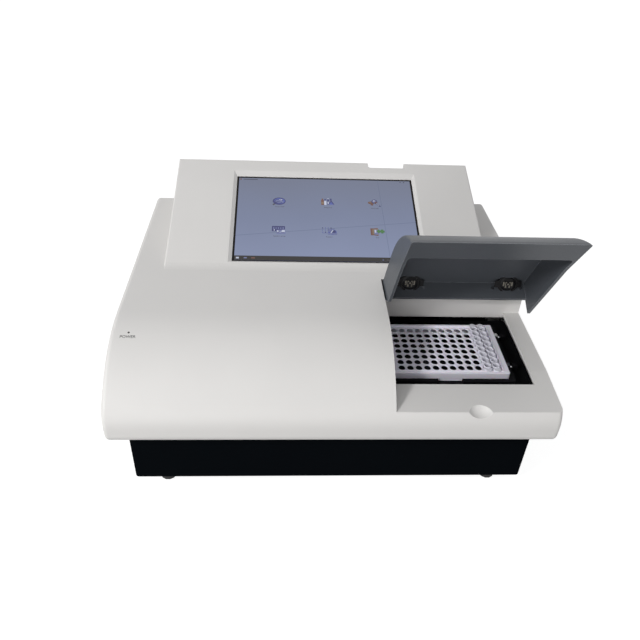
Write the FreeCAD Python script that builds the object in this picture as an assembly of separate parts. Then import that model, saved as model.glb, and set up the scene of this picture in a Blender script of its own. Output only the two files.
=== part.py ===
import FreeCAD
import Part

import math
import os

# Microplate reader, bench-top. Millimetres. X to the right, +Y to the back, +Z up.
# The origin is on the table, under the middle of the case.

# Main cover
COVER_WIDTH = 442.5
COVER_BACK_Y = 181.5
COVER_FRONT_Y = -181.5
COVER_TOP_Z = 161.45
COVER_LIP_Z = 80.0
COVER_WALL = 3.0
COVER_EDGE_RADIUS = 5.0
NOSE_START_Y = -78.5
NOSE_TOP_RADIUS = 131.6
NOSE_FRONT_RADIUS = 32.9
NOSE_LIP_RADIUS = 10.0
REGISTER_DEPTH = 3.0

# Display housing, the sloping panel on top of the cover
PANEL_WIDTH = 373.0
PANEL_ANGLE = 18.3
PANEL_TOP_Z = 218.2
PANEL_EDGE_RADIUS = 2.0
PANEL_FOOT_RADIUS = 40.0
NOTCH_CENTRE_X = 80.3
NOTCH_WIDTH = 47.0
NOTCH_RUN = 10.3
NOTCH_DEPTH = 9.0
NOTCH_CORNER_RADIUS = 3.0

# Touch screen
SCREEN_WIDTH = 222.6
SCREEN_HEIGHT = 140.6
SCREEN_TOP_RUN = 29.0
SCREEN_BEVEL_SIDE = 4.2
SCREEN_BEVEL_TOP = 8.5
SCREEN_BEVEL_BOTTOM = 3.1
SCREEN_BEVEL_DEPTH = 2.2
GLASS_BORDER = 3.5
GLASS_THICKNESS = 2.0
LCD_THICKNESS = 5.0
LCD_MARGIN = 1.5
BRACKET_THICKNESS = 1.5
BRACKET_BAND = 14.0
BRACKET_EAR = 12.0
SCREEN_BOSS_RADIUS = 4.0

# Plate bay at the right of the cover
BAY_LEFT_X = 57.0
BAY_BACK_Y = -17.5
DECK_Z = 121.8
DECK_BEND_Y = -120.0
DECK_FRONT_FALL = 5.35
DECK_FALL_RUN = 70.0
APERTURE_RIGHT_X = 202.8
APERTURE_FRONT_Y = -139.2
APERTURE_SKIRT = 3.8
SCOOP_X = 139.2
SCOOP_RADIUS = 16.0
SCOOP_Y = -179.2
SCOOP_Z = 128.0

# Bay lid and its hinges
LID_GAP_LEFT = 2.0
LID_GAP_BELOW = 0.5
LID_BACK_GAP = 1.0
LID_WALL = 3.0
LID_FRONT_RIM = 33.0
LID_FLANGE_HEIGHT = 23.0
LID_OPEN_ANGLE = 60.3
LID_AXIS_BEHIND_BAY = 1.8
LID_AXIS_BELOW_TOP = 5.7
LID_TROUGH_RADIUS = 7.5
LID_EDGE_RADIUS = 2.5
LID_CORNER_RADIUS = 5.0
LID_CORNER_CUT = 28.0
HINGE_LEFT_X = 87.5
HINGE_FROM_RIGHT = 23.75
HINGE_KNUCKLE_RADIUS = 4.2
HINGE_KNUCKLE_WIDTH = 10.0
HINGE_NOTCH_RADIUS = 6.5
HINGE_SIDE_GAP = 0.8
HINGE_PIN_RADIUS = 1.5
HINGE_PIN_CLEARANCE = 0.05
HINGE_PIN_LENGTH = 26.0
HINGE_LEAF_THICKNESS = 2.5
HINGE_LEAF_WIDTH = 22.0
HINGE_LEAF_HEIGHT = 22.0
HINGE_NECK_OVERLAP = 4.0
HINGE_NECK_FRONT = 1.6
CUP_RADIUS = 12.0
CUP_DEPTH = 8.0
CUP_TILT = 52.0
CUP_FORWARD_OF_AXIS = 12.6
CUP_BELOW_AXIS = 2.5
CUP_RIM = 2.4
CUP_RECESS = 1.6
CUP_SCREW_RADIUS = 1.6
CUP_SCREW_OFFSET = 16.0

# Base tray of folded steel
BASE_WIDTH = 409.0
BASE_FRONT_Y = -163.5
BASE_BACK_Y = 171.5
BASE_BOTTOM_Z = 10.0
BASE_SHEET = 2.0
BASE_FLANGE = 8.0
BASE_CORNER_RADIUS = 4.0
FOOT_RADIUS = 8.5
FOOT_EDGE = 2.5
FOOT_X = 172.0
FOOT_FRONT_Y = -152.0
FOOT_BACK_Y = 150.0
VENT_SLOT_LENGTH = 34.0
VENT_SLOT_WIDTH = 3.0
VENT_SLOT_PITCH = 8.0
VENT_SLOT_COUNT = 6
VENT_FROM_BACK = 150.0
VENT_FROM_FLOOR = 12.0

# Sides of the bars and holes that are many-sided rather than round
HEX_SIDE_COUNT = 6
FEW_SIDE_COUNT = 8
SEAT_SIDE_COUNT = 12
ROUND_SIDE_COUNT = 24

# Fasteners between cover and base
TAB_WIDTH = 20.0
TAB_DROP = 20.0
TAB_Y = 118.0
COVER_SCREW_RADIUS = 1.9
COVER_SCREW_HEAD_RADIUS = 3.6
COVER_SCREW_HEAD_HEIGHT = 2.2
COVER_SCREW_DROP = 12.0

# Chassis plate that carries the plate transport and the optics
CHASSIS_TOP_Z = 75.0
CHASSIS_THICKNESS = 3.0
CHASSIS_HALF_WIDTH = 192.0
CHASSIS_FRONT_Y = -152.0
CHASSIS_BACK_Y = 14.0
TONGUE_LEFT_X = -30.0
TONGUE_RIGHT_X = 70.0
TONGUE_BACK_Y = 84.0
PILLAR_RADIUS = 5.0

# Microplate, to the standard footprint, with wells on a square pitch
WELL_PITCH = 9.0
WELL_ROWS = 8
WELL_COLUMNS = 12
WELL_HOLE_RADIUS = 3.5
PLATE_LENGTH = 127.76
PLATE_WIDTH = 85.48
PLATE_HEIGHT = 14.35
PLATE_CENTRE_X = 121.6
PLATE_CENTRE_Y = -77.5
PLATE_TOP_Z = 118.45
PLATE_SKIRT_HEIGHT = 2.5
PLATE_SKIRT_STEP = 1.3
PLATE_WALL = 1.4
PLATE_DECK = 1.8
PLATE_CORNER = 3.0
STRIP_COLUMNS = (11, 12)
STRIP_WEB = 0.9
STRIP_WIDTH = 8.4
STRIP_END = 8.0
STRIP_CUP_RADIUS = 3.2
STRIP_CUP_WALL = 0.6
STRIP_CUP_DEPTH = 10.5

# Plate carrier
CARRIER_FLOOR = 3.0
NEST_GAP = 0.4
NEST_WALL = 4.5
NEST_HEIGHT = 7.3
NEST_LEDGE = 5.0
CARRIER_RIGHT_MARGIN = 24.5
CLAMP_GUIDE_LENGTH = 5.0
CARRIER_LEFT_MARGIN = 8.0
CARRIER_EDGE_RADIUS = 3.0
FINGER_CUT_WIDTH = 25.4
FINGER_CUT_DROP = 3.0
CARRIAGE_TRAVEL = 151.1

# Sprung plate clamps at the right end of the nest
CLAMP_Y_OFFSET = 25.5
CLAMP_Y_SHIFT = 5.6
CLAMP_WIDTH = 5.0
CLAMP_TAIL_RADIUS = 1.2
CLAMP_TRAVEL = 3.0
CLAMP_GAP = 0.3
CLAMP_TIP_LENGTH = 5.0
CLAMP_TAIL_LENGTH = 6.0

# Guide rods, bearing blocks and bushes
ROD_RADIUS = 4.0
ROD_Z = 92.0
ROD_FRONT_Y = -127.5
ROD_BACK_Y = -18.0
ROD_LEFT_X = -124.0
ROD_RIGHT_X = 186.0
SUPPORT_THICKNESS = 10.0
SUPPORT_HALF_DEPTH = 8.0
SUPPORT_TOP_ABOVE_ROD = 7.0
BLOCK_LENGTH = 40.0
BLOCK_LEFT_X = 52.0
BLOCK_HALF_WIDTH = 8.0
BUSH_LENGTH = 12.0
BUSH_WALL = 1.5
BUSH_CLEARANCE = 0.05

# Belt drive
BELT_Y = -33.0
BELT_WIDTH = 6.0
BELT_THICKNESS = 1.4
BELT_GAP = 0.3
PULLEY_RADIUS = 8.0
PULLEY_Z = 89.0
PULLEY_FLANGE = 1.2
PULLEY_FLANGE_HEIGHT = 1.2
DRIVE_PULLEY_X = -150.0
IDLER_X = 116.0
SHAFT_RADIUS = 2.5
SHAFT_CLEARANCE = 0.05
MOTOR_SIZE = 28.0
MOTOR_LENGTH = 36.0
MOTOR_CORNER = 3.0
MOTOR_BOSS_RADIUS = 8.0
MOTOR_BOSS_HEIGHT = 2.0
MOTOR_PLATE = 3.0
MOTOR_FRONT_Y = -24.0
CLAMP_BLOCK_LENGTH = 14.0
CLAMP_BLOCK_WALL = 2.5

# Reading optics over the plate
OPTIC_X = 20.0
BRIDGE_LENGTH = 28.0
BRIDGE_COLUMN = 6.0
BRIDGE_FRONT_Y = -147.0
BRIDGE_BACK_Y = 3.0
BRIDGE_BEAM_Z = 122.5
BRIDGE_BEAM_HEIGHT = 12.0
LENS_BARREL_RADIUS = 3.2
LENS_BARREL_STAND = 3.0
LENS_BARREL_DROP = 1.0
LENS_FIT = 0.05
DETECTOR_Z = 95.0
DETECTOR_BOARD = 1.6
DETECTOR_WIDTH = 24.0
DETECTOR_OVERHANG = 5.5
DIODE_RADIUS = 2.6
DIODE_HEIGHT = 2.4
DETECTOR_POST_RADIUS = 3.0
FIBRE_Z = 143.0
FIBRE_RADIUS = 5.5
FIBRE_END_RADIUS = 2.5
FIBRE_LEG_RADIUS = 1.4

# Filter unit behind the bridge
OPTIC_BRACKET_SHEET = 3.0
FERRULE_POST_Y = 9.0
FERRULE_POST_WIDTH = 24.0
FILTER_WHEEL_Y = 20.0
FILTER_WHEEL_THICKNESS = 5.0
FILTER_WHEEL_RADIUS = 31.0
FILTER_PITCH_RADIUS = 23.0
FILTER_COUNT = 8
FILTER_RADIUS = 6.0
FILTER_LEDGE = 0.8
FILTER_FIT = 0.05
FILTER_GLASS = 3.0
FILTER_WALL_Y = 27.0
FILTER_WALL_LEFT_X = -18.0
FILTER_WALL_RIGHT_X = 58.0
FILTER_MOTOR_SIZE = 26.0
FILTER_MOTOR_LENGTH = 24.0
FILTER_SHAFT_RADIUS = 2.0
LAMP_BODY_WIDTH = 44.0
LAMP_BODY_LENGTH = 42.0
LAMP_BODY_DROP = 9.0
LAMP_BODY_RISE = 9.5
LAMP_BORE_RADIUS = 6.5
LAMP_FIN_COUNT = 7
LAMP_FIN_GAP = 3.0
LAMP_FIN_DEPTH = 10.0
LENS_THICKNESS = 5.0
BULB_RADIUS = 4.2
BULB_LENGTH = 14.0
BULB_BASE_LENGTH = 6.0

# Electronics on the floor of the base
BOARD_LEFT_X = -186.0
BOARD_LENGTH = 130.0
BOARD_FRONT_Y = 26.0
BOARD_DEPTH = 112.0
BOARD_THICKNESS = 1.6
CHIP_SIZE = 26.0
CHIP_HEIGHT = 6.0
HEADER_LENGTH = 40.0
HEADER_DEPTH = 8.0
HEADER_HEIGHT = 10.0
CAN_RADIUS = 5.0
CAN_HEIGHT = 14.0
STANDOFF_HEIGHT = 8.0
STANDOFF_RADIUS = 3.0
SUPPLY_LEFT_X = 84.0
SUPPLY_LENGTH = 100.0
SUPPLY_FRONT_Y = 30.0
SUPPLY_DEPTH = 86.0
SUPPLY_HEIGHT = 38.0

# Back panel
INLET_X = 152.0
INLET_Z = 42.0
INLET_WIDTH = 48.0
INLET_HEIGHT = 28.0
INLET_DEPTH = 24.0
INLET_BEZEL = 2.5
INLET_CAVITY_WIDTH = 24.0
INLET_CAVITY_HEIGHT = 16.0
INLET_CAVITY_DEPTH = 15.0
INLET_CORNER = 4.0
INLET_PIN_SPREAD = 7.0
INLET_PIN_RAISE = 2.0
INLET_PIN_DROP = 3.0
SWITCH_X = 108.0
SWITCH_WIDTH = 21.0
SWITCH_HEIGHT = 15.0
SWITCH_BEZEL = 2.0
SWITCH_WALL = 2.0
SWITCH_DEPTH = 18.0
ROCKER_RADIUS = 9.5
ROCKER_TILT = 9.0
ROCKER_GAP = 0.3
ROCKER_SWING = 0.6
ROCKER_BACK = 4.0
ROCKER_DISH_RADIUS = 12.0
ROCKER_PIVOT_DEPTH = 2.0
ROCKER_PIN_RADIUS = 1.0
ROCKER_PIN_SEAT = 1.2
PORTS_X = 10.0
PORTS_WIDTH = 84.0
PORTS_HEIGHT = 22.0
PORTS_Z = 40.0
PORTS_DEPTH = 16.0
PORTS_STAND = 1.0
USB_WIDTH = 14.0
USB_HEIGHT = 7.0
SERIAL_WIDTH = 31.0
SERIAL_HEIGHT = 12.0
PORT_SOCKET_DEPTH = 9.0
PORT_FIRST = 14.0
PORT_SECOND = 34.0
PORT_THIRD = 63.0
FAN_X = -128.0
FAN_Z = 43.5
FAN_SIZE = 60.0
FAN_DEPTH = 15.0
FAN_BORE_RADIUS = 28.0
FAN_HUB_RADIUS = 13.0
FAN_SHAFT_RADIUS = 2.0
FAN_BLADE_GAP = 1.0
FAN_BLADES = 7
FAN_BLADE_THICKNESS = 1.4
FAN_BLADE_PITCH = 35.0
FAN_STRUT_WIDTH = 4.0
FAN_STRUT_DEPTH = 2.5
GRILLE_BARS = 3

# Indicator in the cover's left shoulder
INDICATOR_FROM_LEFT = 18.55
INDICATOR_Y = -107.4
INDICATOR_RADIUS = 1.1

CLEARANCE = 0.3
THROUGH = 20.0

VECTOR = FreeCAD.Vector
X_AXIS = VECTOR(1, 0, 0)
Y_AXIS = VECTOR(0, 1, 0)
Z_AXIS = VECTOR(0, 0, 1)

half_cover = COVER_WIDTH / 2
base_top_z = COVER_LIP_Z - REGISTER_DEPTH
base_floor_z = BASE_BOTTOM_Z + BASE_SHEET
base_inner_x = BASE_WIDTH / 2 - BASE_SHEET
hinge_right_x = half_cover - HINGE_FROM_RIGHT
indicator_x = INDICATOR_FROM_LEFT - half_cover
lid_axis_y = BAY_BACK_Y + LID_AXIS_BEHIND_BAY
lid_axis_z = COVER_TOP_Z - LID_AXIS_BELOW_TOP
hinge_leaf_top = lid_axis_z - LID_TROUGH_RADIUS - 1.5 * COVER_WALL
lid_left_x = BAY_LEFT_X + LID_GAP_LEFT
lid_back_y = BAY_BACK_Y - LID_BACK_GAP
plate_bottom_z = PLATE_TOP_Z - PLATE_HEIGHT
plate_right_x = PLATE_CENTRE_X + PLATE_LENGTH / 2
plate_left_x = PLATE_CENTRE_X - PLATE_LENGTH / 2
carrier_bottom_z = plate_bottom_z - CARRIER_FLOOR
chassis_bottom_z = CHASSIS_TOP_Z - CHASSIS_THICKNESS
beam_top_z = BRIDGE_BEAM_Z + BRIDGE_BEAM_HEIGHT
filter_axis_z = FIBRE_Z - FILTER_PITCH_RADIUS
fan_back_y = BASE_BACK_Y - BASE_SHEET


def box(x0, x1, y0, y1, z0, z1):
    return Part.makeBox(x1 - x0, y1 - y0, z1 - z0, VECTOR(x0, y0, z0))


def rod(radius, start, end):
    """A round bar between two points."""
    a = VECTOR(*start)
    b = VECTOR(*end)
    return Part.makeCylinder(radius, (b - a).Length, a, b - a)


def outline(sides, radius, z=0.0):
    """A closed regular polygon about the origin, its corners at the radius."""
    angles = [math.pi * (2 * number + 1) / sides for number in range(sides)]
    points = [VECTOR(radius * math.cos(angle), radius * math.sin(angle), z) for angle in angles]
    return Part.makePolygon(points + points[:1])


def laid_between(shape, start, end):
    """Turn and move a shape drawn up the Z axis so that it runs from start to end."""
    a = VECTOR(*start)
    shape.Placement = FreeCAD.Placement(a, FreeCAD.Rotation(Z_AXIS, VECTOR(*end) - a))
    return shape


def distance(start, end):
    return (VECTOR(*end) - VECTOR(*start)).Length


def many_sided(sides, radius, start, end):
    """A bar of regular section between two points, its corners at the radius."""
    bar = Part.Face(outline(sides, radius)).extrude(Z_AXIS * distance(start, end))
    return laid_between(bar, start, end)


def many_sided_hole(sides, radius, start, end):
    """A cutter of regular section between two points, its flats at the radius."""
    return many_sided(sides, radius / math.cos(math.pi / sides), start, end)


def tapered(sides, start_radius, end_radius, start, end):
    """A many-sided bar that narrows or widens from start to end."""
    low = outline(sides, start_radius)
    high = outline(sides, end_radius, distance(start, end))
    faces = [Part.Face(low), Part.Face(high)]
    for a, b in zip(low.Edges, high.Edges):
        corners = [edge.valueAt(at) for edge, at in (
            (a, a.FirstParameter), (a, a.LastParameter), (b, b.LastParameter),
            (b, b.FirstParameter), (a, a.FirstParameter))]
        faces.append(Part.Face(Part.makePolygon(corners)))
    return laid_between(Part.makeSolid(Part.makeShell(faces)), start, end)


def runs_along(axis, edge):
    """Whether an edge is straight along an axis."""
    return abs(edge.tangentAt(edge.FirstParameter).dot(axis)) > 0.9


def side_face(start, *steps):
    """A face in the YZ plane. A step is (end,) for a straight run, (through, end) for an arc."""
    edges = []
    here = VECTOR(0, *start)
    for step in steps + ((start,),):
        end = VECTOR(0, *step[-1])
        if len(step) == 2:
            edges.append(Part.Arc(here, VECTOR(0, *step[0]), end).toShape())
        else:
            edges.append(Part.LineSegment(here, end).toShape())
        here = end
    return Part.Face(Part.Wire(edges))


def along_x(face, x0, x1):
    """Extrude a face of the YZ plane from one X to another."""
    moved = face.translated(VECTOR(x0, 0, 0))
    return moved.extrude(VECTOR(x1 - x0, 0, 0))


def fuse_all(shapes):
    first, *rest = shapes
    return first.fuse(rest).removeSplitter() if rest else first


def round_edges(shape, radius, wanted):
    """Round each edge whose middle point answers the wanted test."""
    edges = [edge for edge in shape.Edges if wanted(edge.CenterOfMass, edge)]
    return shape.makeFillet(radius, edges)


def well_x(column):
    return PLATE_CENTRE_X + (column - (WELL_COLUMNS + 1) / 2) * WELL_PITCH


def well_y(row):
    return PLATE_CENTRE_Y + ((WELL_ROWS + 1) / 2 - row) * WELL_PITCH


def nose_centres():
    """Centres of the two tangent nose arcs, and the angle from upright at which they meet."""
    top = (NOSE_START_Y, COVER_TOP_Z - NOSE_TOP_RADIUS)
    reach = NOSE_START_Y - NOSE_FRONT_RADIUS - COVER_FRONT_Y
    meet = math.asin(reach / (NOSE_TOP_RADIUS - NOSE_FRONT_RADIUS))
    gap = NOSE_TOP_RADIUS - NOSE_FRONT_RADIUS
    front = (top[0] - gap * math.sin(meet), top[1] + gap * math.cos(meet))
    return top, front, meet


def on_nose(centre, radius, angle):
    """A point on a nose arc, its angle counted forwards from straight up."""
    return (centre[0] - radius * math.sin(angle), centre[1] + radius * math.cos(angle))


def nose_y(z):
    """Where the cover's lower front stands at a height."""
    front = nose_centres()[1]
    return front[0] - math.sqrt(NOSE_FRONT_RADIUS ** 2 - (z - front[1]) ** 2)


def nose_face(inset, bottom_z, back_y):
    """The cover's side profile, drawn in by an inset, down to a bottom height."""
    top, front, meet = nose_centres()
    big = NOSE_TOP_RADIUS - inset
    small = NOSE_FRONT_RADIUS - inset
    lip = (COVER_FRONT_Y + NOSE_LIP_RADIUS, COVER_LIP_Z + NOSE_LIP_RADIUS)
    turn = NOSE_LIP_RADIUS - inset
    return side_face(
        (back_y - inset, bottom_z),
        ((back_y - inset, COVER_TOP_Z - inset),),
        ((NOSE_START_Y, COVER_TOP_Z - inset),),
        (on_nose(top, big, meet / 2), on_nose(top, big, meet)),
        (on_nose(front, small, (meet + math.pi / 2) / 2), on_nose(front, small, math.pi / 2)),
        (on_nose(lip, turn, math.pi / 2),),
        (on_nose(lip, turn, 3 * math.pi / 4), on_nose(lip, turn, math.pi)),
    )


panel_angle = math.radians(PANEL_ANGLE)
panel_rise = PANEL_TOP_Z - COVER_TOP_Z
panel_foot_y = COVER_BACK_Y - panel_rise / math.tan(panel_angle)


def panel_z(y, inset=0.0):
    """Height of the sloping panel at a depth, or of a surface set in below it."""
    return COVER_TOP_Z + (y - panel_foot_y) * math.tan(panel_angle) - inset / math.cos(panel_angle)


def on_panel(shape):
    """Move a shape drawn with its X across, Y up the slope and Z outwards onto the panel."""
    turned = shape.copy()
    turned.rotate(VECTOR(0, 0, 0), X_AXIS, PANEL_ANGLE)
    turned.translate(VECTOR(0, COVER_BACK_Y, PANEL_TOP_Z))
    return turned


def display_wedge():
    """Outer form of the display housing, with the soft foot where it meets the cover."""
    tangent = PANEL_FOOT_RADIUS * math.tan(panel_angle / 2)
    low_z = COVER_TOP_Z - 2 * COVER_WALL
    foot_end = (panel_foot_y - tangent, COVER_TOP_Z)
    slope_start = (
        panel_foot_y + tangent * math.cos(panel_angle),
        COVER_TOP_Z + tangent * math.sin(panel_angle),
    )
    middle = (
        foot_end[0] + PANEL_FOOT_RADIUS * math.sin(panel_angle / 2),
        COVER_TOP_Z + PANEL_FOOT_RADIUS * (1 - math.cos(panel_angle / 2)),
    )
    face = side_face(
        (COVER_BACK_Y, low_z),
        ((COVER_BACK_Y, PANEL_TOP_Z),),
        (slope_start,),
        (middle, foot_end),
        ((foot_end[0], low_z),),
    )
    wedge = along_x(face, -PANEL_WIDTH / 2, PANEL_WIDTH / 2)

    def upper(point, edge):
        top_back = runs_along(X_AXIS, edge) and point.z > PANEL_TOP_Z - 1
        side = abs(point.x) > PANEL_WIDTH / 2 - 1 and point.z > COVER_TOP_Z + 3
        return top_back or side and not runs_along(Z_AXIS, edge)

    return round_edges(wedge, PANEL_EDGE_RADIUS, upper)


def display_hollow():
    """Space inside the display housing, one wall in from its outside."""
    inset = COVER_WALL
    low_z = COVER_TOP_Z - 4 * COVER_WALL
    back = COVER_BACK_Y - inset
    front = panel_foot_y + (inset / math.cos(panel_angle) - 2 * inset) / math.tan(panel_angle)
    face = side_face(
        (back, low_z),
        ((back, panel_z(back, inset)),),
        ((front, panel_z(front, inset)),),
        ((front, low_z),),
    )
    half = PANEL_WIDTH / 2 - inset
    return along_x(face, -half, half)


def top_notch(grow):
    """The shallow notch in the top back edge of the display housing."""
    half = NOTCH_WIDTH / 2 + grow
    run = NOTCH_RUN * math.cos(panel_angle) + grow
    notch = box(
        NOTCH_CENTRE_X - half, NOTCH_CENTRE_X + half,
        COVER_BACK_Y - run, COVER_BACK_Y + THROUGH,
        PANEL_TOP_Z - NOTCH_DEPTH - grow, PANEL_TOP_Z + THROUGH,
    )
    radius = NOTCH_CORNER_RADIUS + grow

    def front_upright(point, edge):
        return runs_along(Z_AXIS, edge) and point.y < COVER_BACK_Y

    return round_edges(notch, radius, front_upright)


def deck_z(y):
    """Top of the deck: level at the back, falling slightly towards the front."""
    if y > DECK_BEND_Y:
        return DECK_Z
    return DECK_Z - (DECK_BEND_Y - y) * DECK_FRONT_FALL / DECK_FALL_RUN


def plate_bay(grow):
    """The space cut out of the cover for the bay, with the trough for the lid's round back edge."""
    left = BAY_LEFT_X - grow
    back = BAY_BACK_Y + grow
    right = half_cover + THROUGH
    front_y = DECK_BEND_Y - DECK_FALL_RUN
    face = side_face(
        (back, DECK_Z - grow),
        ((back, COVER_TOP_Z + THROUGH),),
        ((front_y, COVER_TOP_Z + THROUGH),),
        ((front_y, deck_z(front_y) - grow),),
        ((DECK_BEND_Y, DECK_Z - grow),),
    )
    trough = rod(
        LID_TROUGH_RADIUS + grow,
        (left, lid_axis_y, lid_axis_z), (right, lid_axis_y, lid_axis_z),
    )
    bay = along_x(face, left, right).fuse(trough)
    if grow:
        return bay.fuse(box(
            SCOOP_X - SCOOP_RADIUS, SCOOP_X + SCOOP_RADIUS, SCOOP_Y - SCOOP_RADIUS,
            SCOOP_Y + SCOOP_RADIUS, SCOOP_Z - SCOOP_RADIUS - grow, SCOOP_Z,
        ))
    return bay.fuse(Part.makeSphere(SCOOP_RADIUS, VECTOR(SCOOP_X, SCOOP_Y, SCOOP_Z)))


def screen_window():
    """The bevelled window in the panel, drawn flat and then laid on the slope."""
    half = SCREEN_WIDTH / 2
    top = -SCREEN_TOP_RUN
    bottom = top - SCREEN_HEIGHT

    def outline(side, up, down, z):
        corners = [
            VECTOR(-half - side, bottom - down, z), VECTOR(half + side, bottom - down, z),
            VECTOR(half + side, top + up, z), VECTOR(-half - side, top + up, z),
        ]
        return Part.makePolygon(corners + corners[:1])

    bevel = Part.makeLoft(
        [
            outline(0, 0, 0, -SCREEN_BEVEL_DEPTH),
            outline(SCREEN_BEVEL_SIDE, SCREEN_BEVEL_TOP, SCREEN_BEVEL_BOTTOM, 0),
        ],
        True, True,
    )
    above = Part.Face(
        outline(SCREEN_BEVEL_SIDE, SCREEN_BEVEL_TOP, SCREEN_BEVEL_BOTTOM, 0)
    ).extrude(VECTOR(0, 0, THROUGH))
    hole = box(-half, half, bottom, top, -THROUGH, 0)
    return on_panel(bevel.fuse([above, hole]))


def screen_bosses(length, radius):
    """The four bosses that the screen bracket is screwed to."""
    x = SCREEN_WIDTH / 2 + BRACKET_EAR
    high = -SCREEN_TOP_RUN - BRACKET_BAND
    low = -SCREEN_TOP_RUN - SCREEN_HEIGHT + BRACKET_BAND
    start = -COVER_WALL
    return [
        on_panel(many_sided(HEX_SIDE_COUNT, radius, (side * x, v, start), (side * x, v, start - length)))
        for side in (-1, 1) for v in (low, high)
    ]


def cover_tabs():
    """Four tabs of the cover that reach down inside the base for its side screws."""
    inner = base_inner_x
    tabs = []
    for side in (-1, 1):
        for y in (-TAB_Y, TAB_Y):
            x0, x1 = sorted((side * inner, side * (inner - COVER_WALL)))
            tab = box(x0, x1, y - TAB_WIDTH / 2, y + TAB_WIDTH / 2,
                      base_top_z - TAB_DROP, COVER_LIP_Z + COVER_WALL)
            tabs.append(tab)
    return tabs


def cover_screw_holes(radius):
    z = base_top_z - COVER_SCREW_DROP
    holes = []
    for side in (-1, 1):
        for y in (-TAB_Y, TAB_Y):
            holes.append(many_sided_hole(
                FEW_SIDE_COUNT, radius,
                (side * (base_inner_x - COVER_WALL - 1), y, z),
                (side * (BASE_WIDTH / 2 + 1), y, z),
            ))
    return holes


def main_cover():
    """The moulded cover: curved nose, plate bay, display housing and the inner walls."""
    outside = along_x(nose_face(0, COVER_LIP_Z, COVER_BACK_Y), -half_cover, half_cover)

    def side_rim(point, edge):
        return abs(point.x) > half_cover - 0.01 and point.z > COVER_LIP_Z + 0.01

    outside = round_edges(outside, COVER_EDGE_RADIUS, side_rim)
    outside = outside.fuse(display_wedge()).cut([plate_bay(0), top_notch(0)])

    ledge_top = COVER_LIP_Z + COVER_WALL
    hollow = along_x(
        nose_face(COVER_WALL, ledge_top, COVER_BACK_Y),
        COVER_WALL - half_cover, half_cover - COVER_WALL,
    )
    hollow = hollow.fuse(display_hollow()).cut([plate_bay(COVER_WALL), top_notch(COVER_WALL)])
    cover = outside.cut(hollow)

    register = box(
        -BASE_WIDTH / 2, BASE_WIDTH / 2, BASE_FRONT_Y, BASE_BACK_Y, base_top_z, COVER_LIP_Z,
    )
    register = round_edges(
        register, BASE_CORNER_RADIUS, lambda point, edge: runs_along(Z_AXIS, edge))
    cover = cover.fuse(register)
    floor_hole = box(
        BASE_SHEET - BASE_WIDTH / 2, BASE_WIDTH / 2 - BASE_SHEET,
        BASE_FRONT_Y + BASE_SHEET, BASE_BACK_Y - BASE_SHEET,
        base_top_z - 1, ledge_top + 1,
    )
    skirt = box(
        BAY_LEFT_X - COVER_WALL, APERTURE_RIGHT_X + COVER_WALL,
        BAY_BACK_Y, BAY_BACK_Y + COVER_WALL,
        DECK_Z - COVER_WALL - APERTURE_SKIRT, DECK_Z - COVER_WALL,
    )
    cover = cover.cut(floor_hole).fuse([skirt] + cover_tabs() + screen_bosses(
        GLASS_THICKNESS + LCD_THICKNESS, SCREEN_BOSS_RADIUS))

    aperture = box(
        BAY_LEFT_X - COVER_WALL - 1, APERTURE_RIGHT_X, APERTURE_FRONT_Y, BAY_BACK_Y,
        DECK_Z - THROUGH, DECK_Z,
    )
    indicator = many_sided_hole(
        SEAT_SIDE_COUNT, INDICATOR_RADIUS + LENS_FIT,
        (indicator_x, INDICATOR_Y, COVER_TOP_Z - THROUGH),
        (indicator_x, INDICATOR_Y, COVER_TOP_Z),
    )
    cutters = [aperture, indicator, screen_window()] + cover_screw_holes(COVER_SCREW_RADIUS)
    for x in (HINGE_LEFT_X, hinge_right_x):
        cutters.append(hinge_slot(x))
    return cover.cut(cutters).removeSplitter()


def hinge_slot(x):
    """Slot in the bay's back wall where a hinge arm comes through."""
    half = HINGE_KNUCKLE_WIDTH / 2 + HINGE_SIDE_GAP
    return box(x - half, x + half, BAY_BACK_Y - 1, BAY_BACK_Y + 2.5 * COVER_WALL,
               hinge_leaf_top - HINGE_NECK_OVERLAP - HINGE_SIDE_GAP, lid_axis_z)


def opened(shape):
    """Turn a lid piece drawn closed to the open rest position."""
    turned = shape.copy()
    turned.rotate(VECTOR(0, lid_axis_y, lid_axis_z), X_AXIS, -LID_OPEN_ANGLE)
    return turned


def axis_bar(radius, x0, x1):
    """A round bar on the lid's hinge axis."""
    return rod(radius, (x0, lid_axis_y, lid_axis_z), (x1, lid_axis_y, lid_axis_z))


def pin_hole(radius, x0, x1):
    """A cutter for the hinge pin, on the lid's hinge axis."""
    return many_sided_hole(
        SEAT_SIDE_COUNT, radius, (x0, lid_axis_y, lid_axis_z), (x1, lid_axis_y, lid_axis_z))


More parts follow.
